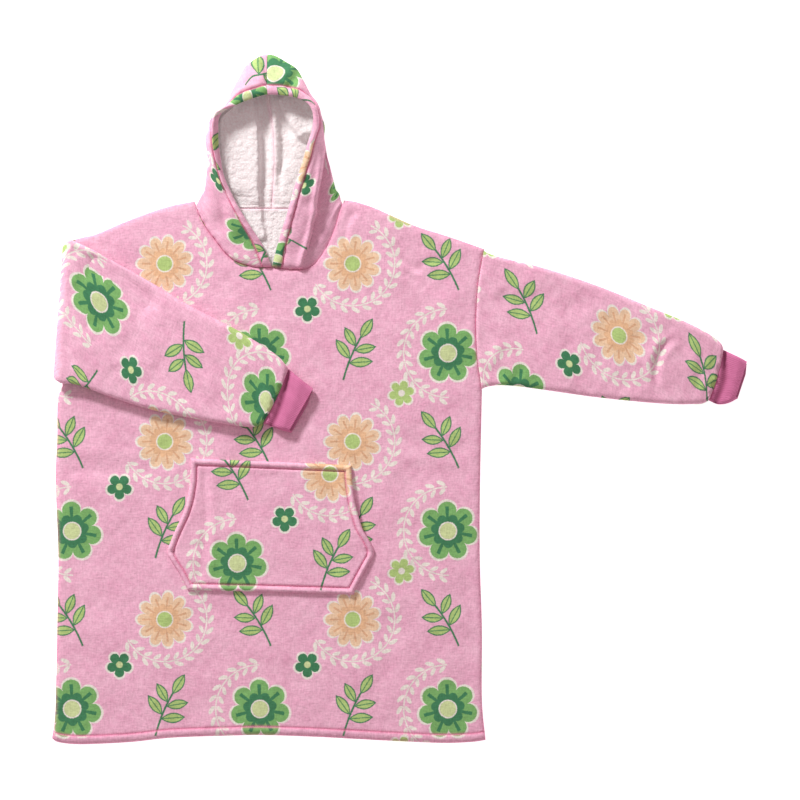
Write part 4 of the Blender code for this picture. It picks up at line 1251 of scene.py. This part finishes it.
class Term:
    """A number in a material's node tree, so that its formulas read plainly."""

    def __init__(self, tree, socket):
        self.tree, self.socket = tree, socket

    def math(self, operation, *others, clamp=False):
        node = self.tree.nodes.new("ShaderNodeMath")
        node.operation = operation
        node.use_clamp = clamp
        for entry, value in zip(node.inputs, (self, *others)):
            feed(self.tree, entry, value)
        return Term(self.tree, node.outputs[0])

    def __add__(self, other):
        return self.math("ADD", other)

    def __sub__(self, other):
        return self.math("SUBTRACT", other)

    def __mul__(self, other):
        return self.math("MULTIPLY", other)

    def __abs__(self):
        return self.math("ABSOLUTE")

    def low(self, other):
        return self.math("MINIMUM", other)

    def high(self, other):
        return self.math("MAXIMUM", other)

    def mask(self, softness=PRINT_SOFTNESS):
        """1 where this number is below zero, 0 above, with a soft edge."""
        return self.math("MULTIPLY_ADD", -1 / softness, 0.5, clamp=True)


def vector_node(tree, operation, first, second, third=None):
    node = tree.nodes.new("ShaderNodeVectorMath")
    node.operation = operation
    for entry, value in zip(node.inputs, (first, second, third)):
        feed(tree, entry, value)
    return node


def linear(colour):
    """A linear colour from an sRGB one."""
    shares = [c / 255 for c in colour]
    return (*(c / 12.92 if c < 0.04045 else ((c + 0.055) / 1.055) ** 2.4 for c in shares), 1.0)


def paint(tree, below, colour, mask, blend="MIX"):
    """A colour laid over another where a mask is 1."""
    node = tree.nodes.new("ShaderNodeMix")
    node.data_type = "RGBA"
    node.blend_type = blend
    feed(tree, node.inputs["Factor"], mask)
    for entry, value in (("A", below), ("B", colour)):
        feed(tree, node.inputs[entry], linear(value) if isinstance(value, tuple) else value)
    return node.outputs["Result"]


def paint_seam(tree, below, colour, share):
    """A colour laid over another where the mesh marks a seam or a valley: painted shade, but the pile's own
    seam colour.
    """
    seam = tree.nodes.new("ShaderNodeAttribute")
    seam.attribute_name = "seam"
    return paint(tree, below, colour, Term(tree, seam.outputs["Fac"]) * share)


def noise(tree, vector, scale, detail=2.0, roughness=0.5):
    node = tree.nodes.new("ShaderNodeTexNoise")
    node.inputs["Scale"].default_value = scale
    node.inputs["Detail"].default_value = detail
    node.inputs["Roughness"].default_value = roughness
    tree.links.new(vector, node.inputs["Vector"])
    return Term(tree, node.outputs["Fac"])


def spot(tree, cloth, x, y, turn):
    """Place from the nearest copy of a spot in the repeat, turned by some degrees: across, up."""
    moved = vector_node(tree, "SUBTRACT", cloth, (x, y, 0)).outputs[0]
    half = (REPEAT[0] / 2, REPEAT[1] / 2, 1)
    wrapped = vector_node(tree, "WRAP", moved, half, tuple(-h for h in half)).outputs[0]
    c, s = math.cos(math.radians(turn)), math.sin(math.radians(turn))
    across = vector_node(tree, "DOT_PRODUCT", wrapped, (c, s, 0)).outputs["Value"]
    up = vector_node(tree, "DOT_PRODUCT", wrapped, (-s, c, 0)).outputs["Value"]
    return Term(tree, across), Term(tree, up)


def paint_blossom(tree, colour, cloth, place, size, petals, fill, middle):
    """A small open blossom with round petals and a round middle."""
    x, y = spot(tree, cloth, *place)
    distance = (x * x + y * y).math("SQRT")
    wave = abs((y.math("ARCTAN2", x) * (petals / 2)).math("SINE"))
    edge = distance - (wave.math("SQRT") * 0.5 + 0.5) * size
    colour = paint(tree, colour, CREAM, (edge - 4.0).mask())
    colour = paint(tree, colour, fill, edge.mask())
    return paint(tree, colour, middle, (distance - size * 0.26).mask())


def leaf(x, y, base_x, base_y, angle, length, width):
    """Distance outside a pointed leaf, and distance to its left of its middle vein."""
    c, s = math.cos(math.radians(angle)), math.sin(math.radians(angle))
    along = (x * c + y * s) - (base_x * c + base_y * s + length / 2)
    across = (y * c - x * s) - (base_y * c - base_x * s)
    bulge = (along * along) * (width / (length / 2) ** 2) - width
    return abs(across) + bulge, across


def paint_branch(tree, colour, cloth, place, side):
    """A branch of slender leaves on a bent stem, mirrored where the side is -1."""
    x, y = spot(tree, cloth, *place)
    x = x * side
    stem = abs(x - (y * y) * 0.0016) - 1.9
    stem = stem.high(abs(y + 8) - 46)
    leaves = [leaf(x, y, *row) for row in BRANCH_LEAVES]
    body = leaves[0][0]
    for outside, _ in leaves[1:]:
        body = body.low(outside)
    colour = paint(tree, colour, DARK_GREEN, body.low(stem).mask())
    colour = paint(tree, colour, LIGHT_GREEN, (body + 2.4).mask())
    veins = None
    for outside, across in leaves:
        vein = (abs(across) - 0.9).high(outside)
        veins = vein if veins is None else veins.low(vein)
    return paint(tree, colour, DARK_GREEN, veins.mask())


def paint_flower(tree, colour, cloth, place, size, petals, colours, arc):
    """A round flower with notched petals, and a garland of small leaves round part of it."""
    outer, inner, middle, vein = colours
    x, y = spot(tree, cloth, *place)
    distance = (x * x + y * y).math("SQRT")
    angle = y.math("ARCTAN2", x)
    wave = abs((angle * (petals / 2)).math("SINE"))
    edge = distance - (wave.math("SQRT") * 0.34 + 0.66) * size
    colour = paint(tree, colour, CREAM, (edge - 4.5).mask())
    colour = paint(tree, colour, outer, edge.mask())
    ray = ((wave * -1 + 1.0) * distance - 0.03 * size).high(edge + 9)
    colour = paint(tree, colour, vein, ray.mask(1.0))
    other = abs((angle * (petals / 2)).math("COSINE"))
    second = distance - (other.math("SQRT") * 0.24 + 0.34) * size
    colour = paint(tree, colour, inner, second.mask())
    colour = paint(tree, colour, CREAM, (abs(distance - size * 0.29) - 1.4).mask())
    colour = paint(tree, colour, middle, (distance - size * 0.27).mask())
    reach, count, first, last = arc
    pitch = 2 * math.pi * reach / count
    step = (angle * (count / (2 * math.pi))).math("WRAP", 0.5, -0.5) * pitch
    rise = abs(distance - reach)
    tilted = step * 0.8 + (rise - 8.0) * 0.6
    level = (rise - 8.0) * 1.8 - step * 1.35
    small = (tilted * tilted + level * level).math("SQRT") - 8.6
    garland = small.low(rise - 1.3)
    turned = (angle - (first + last) * math.pi / count).math("WRAP", math.pi, -math.pi)
    inside = (abs(turned) - (last - first + 1) * math.pi / count) * reach
    return paint(tree, colour, CREAM, garland.high(inside).mask())


def print_colour(tree, cloth, nap):
    """The fleece's all-over print, from plain flowers, branches and blossoms."""
    colour = paint(tree, PINK, DEEP_PINK, nap)
    for place, size, petals, colours, arc in FLOWERS:
        colour = paint_flower(tree, colour, cloth, place, size, petals, colours, arc)
    for place, side in BRANCHES:
        colour = paint_branch(tree, colour, cloth, place, side)
    for place, size, petals, fill, middle in BLOSSOMS:
        colour = paint_blossom(tree, colour, cloth, place, size, petals, fill, middle)
    return colour


def look_material(kind):
    """The material of a cloth or of the thread, made once."""
    material = bpy.data.materials.get("look_" + kind)
    if material is None:
        material = bpy.data.materials.new("look_" + kind)
        material.use_nodes = True
        makers = {
            FLEECE: fleece_nodes,
            PILE: pile_nodes,
            KNIT: knit_nodes,
            THREAD: thread_nodes,
        }
        makers[kind](material.node_tree, material.node_tree.nodes["Principled BSDF"])
    return material


def thread_nodes(tree, shader):
    place = tree.nodes.new("ShaderNodeTexCoord").outputs["Object"]
    twist = noise(tree, place, scale=900)
    tree.links.new(paint(tree, THREAD_PINK, DEEP_PINK, twist), shader.inputs["Base Color"])
    set_cloth(shader, roughness=0.7, sheen=0.2, sheen_roughness=0.4, tint=(255, 235, 242))
    bump(tree, shader, twist, distance=0.0003, strength=0.5)


def set_cloth(shader, roughness, sheen, sheen_roughness, tint):
    shader.inputs["Roughness"].default_value = roughness
    shader.inputs["Specular IOR Level"].default_value = 0.2
    shader.inputs["Sheen Weight"].default_value = sheen
    shader.inputs["Sheen Roughness"].default_value = sheen_roughness
    shader.inputs["Sheen Tint"].default_value = linear(tint)


def bump(tree, shader, height, distance, strength):
    node = tree.nodes.new("ShaderNodeBump")
    node.inputs["Distance"].default_value = distance
    node.inputs["Strength"].default_value = strength
    tree.links.new(height.socket, node.inputs["Height"])
    tree.links.new(node.outputs["Normal"], shader.inputs["Normal"])


def millimetres(tree):
    uv = tree.nodes.new("ShaderNodeUVMap")
    uv.uv_map = "cloth"
    return uv.outputs["UV"], vector_node(tree, "MULTIPLY", uv.outputs["UV"], (1000, 1000, 1000)).outputs[0]


def fleece_nodes(tree, shader):
    metres, cloth = millimetres(tree)
    fuzz = tree.nodes.new("ShaderNodeTexNoise")
    fuzz.inputs["Scale"].default_value = 420.0
    tree.links.new(metres, fuzz.inputs["Vector"])
    centred = vector_node(tree, "MULTIPLY_ADD", fuzz.outputs["Color"], (2.4, 2.4, 0), (-1.2, -1.2, 0))
    cloth = vector_node(tree, "ADD", cloth, centred.outputs[0]).outputs[0]
    broad = noise(tree, metres, scale=16, detail=3.0, roughness=0.6)
    patches = noise(tree, metres, scale=62, detail=3.0, roughness=0.6)
    nap = ((broad + patches) * 0.5 - 0.5).math("MULTIPLY_ADD", 3.2, 0.5, clamp=True)
    colour = print_colour(tree, cloth, nap)
    # Painted shade in the stitched grooves and along the seams and rolled edges.
    colour = paint_seam(tree, colour, SEAM_SHADE_PINK, 0.75)
    grain = noise(tree, metres, scale=260, detail=3.0, roughness=0.7)
    courses = noise(tree, vector_node(tree, "MULTIPLY", metres, COURSES).outputs[0], scale=1.0, detail=1.0)
    wales = noise(tree, vector_node(tree, "MULTIPLY", metres, WALES).outputs[0], scale=1.0, detail=1.0)
    weave = (courses + wales) * 0.3 + grain * 0.4
    colour = paint(tree, colour, (weave * 1.15 + 0.41).low(1.1), 1.0, "MULTIPLY")
    tree.links.new(colour, shader.inputs["Base Color"])
    set_cloth(shader, roughness=0.95, sheen=0.12, sheen_roughness=0.5, tint=(244, 150, 190))
    bump(tree, shader, weave + patches * 1.2, distance=0.0016, strength=0.5)


def pile_nodes(tree, shader):
    place = tree.nodes.new("ShaderNodeTexCoord").outputs["Object"]
    fine = noise(tree, place, scale=420, detail=3.0, roughness=0.65)
    tufts = tree.nodes.new("ShaderNodeTexVoronoi")
    tufts.inputs["Scale"].default_value = 260.0
    tree.links.new(place, tufts.inputs["Vector"])
    tuft = Term(tree, tufts.outputs["Distance"])
    colour = paint(tree, PILE_WHITE, PILE_SHADE, (tuft * 0.7 - 0.15).high(0.0))
    colour = paint_seam(tree, colour, PILE_SEAM, 0.6)
    tree.links.new(colour, shader.inputs["Base Color"])
    set_cloth(shader, roughness=1.0, sheen=0.2, sheen_roughness=0.6, tint=(255, 250, 250))
    bump(tree, shader, fine + tuft * -1.2, distance=0.0012, strength=0.45)


def knit_nodes(tree, shader):
    metres, cloth = millimetres(tree)
    round_it = Term(tree, vector_node(tree, "DOT_PRODUCT", cloth, (0, 1, 0)).outputs["Value"])
    along = Term(tree, vector_node(tree, "DOT_PRODUCT", cloth, (1, 0, 0)).outputs["Value"])
    rib = (round_it * (2 * math.pi / RIB_PITCH)).math("COSINE") * 0.5 + 0.5
    loops = (along * (2 * math.pi / LOOP_PITCH) + rib * 1.5).math("SINE") * 0.5 + 0.5
    worn = noise(tree, metres, scale=60, detail=3.0, roughness=0.6)
    # The rib term paints shade into the ribs' valleys. The worn noise is the knit's random tone.
    colour = paint(tree, CUFF_SHADE, CUFF_PINK, (rib * 0.3 + worn * 0.95).low(1.0))
    # Painted shade: the valley beside each cuff's seam is darkened.
    colour = paint_seam(tree, colour, CUFF_VALLEY_SHADE, 0.8)
    tree.links.new(colour, shader.inputs["Base Color"])
    set_cloth(shader, roughness=0.9, sheen=0.2, sheen_roughness=0.5, tint=(250, 210, 230))
    bump(tree, shader, rib + loops * 0.15, distance=0.0005, strength=0.35)


def build_floor():
    corners = [(x * FLOOR_REACH, y * FLOOR_REACH, FLOOR_Z) for x, y in ((-1, -1), (1, -1), (1, 1), (-1, 1))]
    mesh = bpy.data.meshes.new("floor")
    mesh.from_pydata(corners, [], [(0, 1, 2, 3)])
    floor = add_object("floor", mesh)
    material = bpy.data.materials.new("floor_paper")
    material.use_nodes = True
    shader = material.node_tree.nodes["Principled BSDF"]
    shader.inputs["Base Color"].default_value = (0.93, 0.93, 0.93, 1)
    shader.inputs["Emission Color"].default_value = (1.0, 1.0, 1.0, 1)
    shader.inputs["Emission Strength"].default_value = FLOOR_GLOW
    shader.inputs["Roughness"].default_value = 0.9
    shader.inputs["Specular IOR Level"].default_value = 0.1
    mesh.materials.append(material)


def build_lights():
    world = bpy.data.worlds.new("studio")
    world.use_nodes = True
    backdrop = world.node_tree.nodes["Background"]
    backdrop.inputs["Color"].default_value = (*SKY_COLOUR, 1)
    backdrop.inputs["Strength"].default_value = SKY_STRENGTH
    bpy.context.scene.world = world
    key = bpy.data.lights.new("key", "AREA")
    key.shape = "DISK"
    key.size = KEY_SIZE
    key.energy = KEY_POWER
    lamp = add_object("key", key)
    lamp.visible_camera = False
    level = math.radians(KEY_ELEVATION)
    turn = math.radians(KEY_TURN)
    to_key = Vector((-math.sin(turn) * math.cos(level), math.cos(turn) * math.cos(level), math.sin(level)))
    lamp.location = Vector(KEY_AIM) + to_key * KEY_DISTANCE
    lamp.rotation_euler = (-to_key).to_track_quat("-Z", "Y").to_euler()


def build_camera():
    data = bpy.data.cameras.new("camera")
    data.sensor_width = SENSOR
    data.lens = SENSOR * (CAMERA_HEIGHT - SCALE_HEIGHT) / PICTURE_WIDTH
    data.clip_end = 100.0
    camera = add_object("camera", data)
    camera.location = (*PICTURE_CENTRE, CAMERA_HEIGHT)
    bpy.context.scene.camera = camera
    bpy.context.scene.view_settings.view_transform = "Standard"


def main():
    build_camera()
    build_lights()
    build_floor()
    front = build_front()
    build_back()
    build_left_sleeve()
    build_right_sleeve()
    build_cuff("left_cuff", LEFT_CUFF, LEFT_CUFF_VALLEY)
    build_cuff("right_cuff", RIGHT_CUFF, RIGHT_CUFF_VALLEY)
    pocket = build_pocket()
    hem_path = front[HEM_LINES.index(HEM_STITCH_LINE), 4:-4]
    sewn_on = {
        "front_cloth": [stitches("hem_stitches", hem_path)],
        "pocket_cloth": [stitches("pocket_stitches", pocket_stitch_path(pocket))],
    }
    for side, name in ((-1, "right"), (1, "left")):
        hood = build_hood(side, name)
        rim_path = hood[3:-2, RIM_LINES.index(RIM_STITCH_LINE)]
        sewn_on[f"{name}_hood_cloth"] = [stitches(f"{name}_rim_stitches", rim_path)]
        build_hood_lining(side, name)
    build_neck_lining()


main()
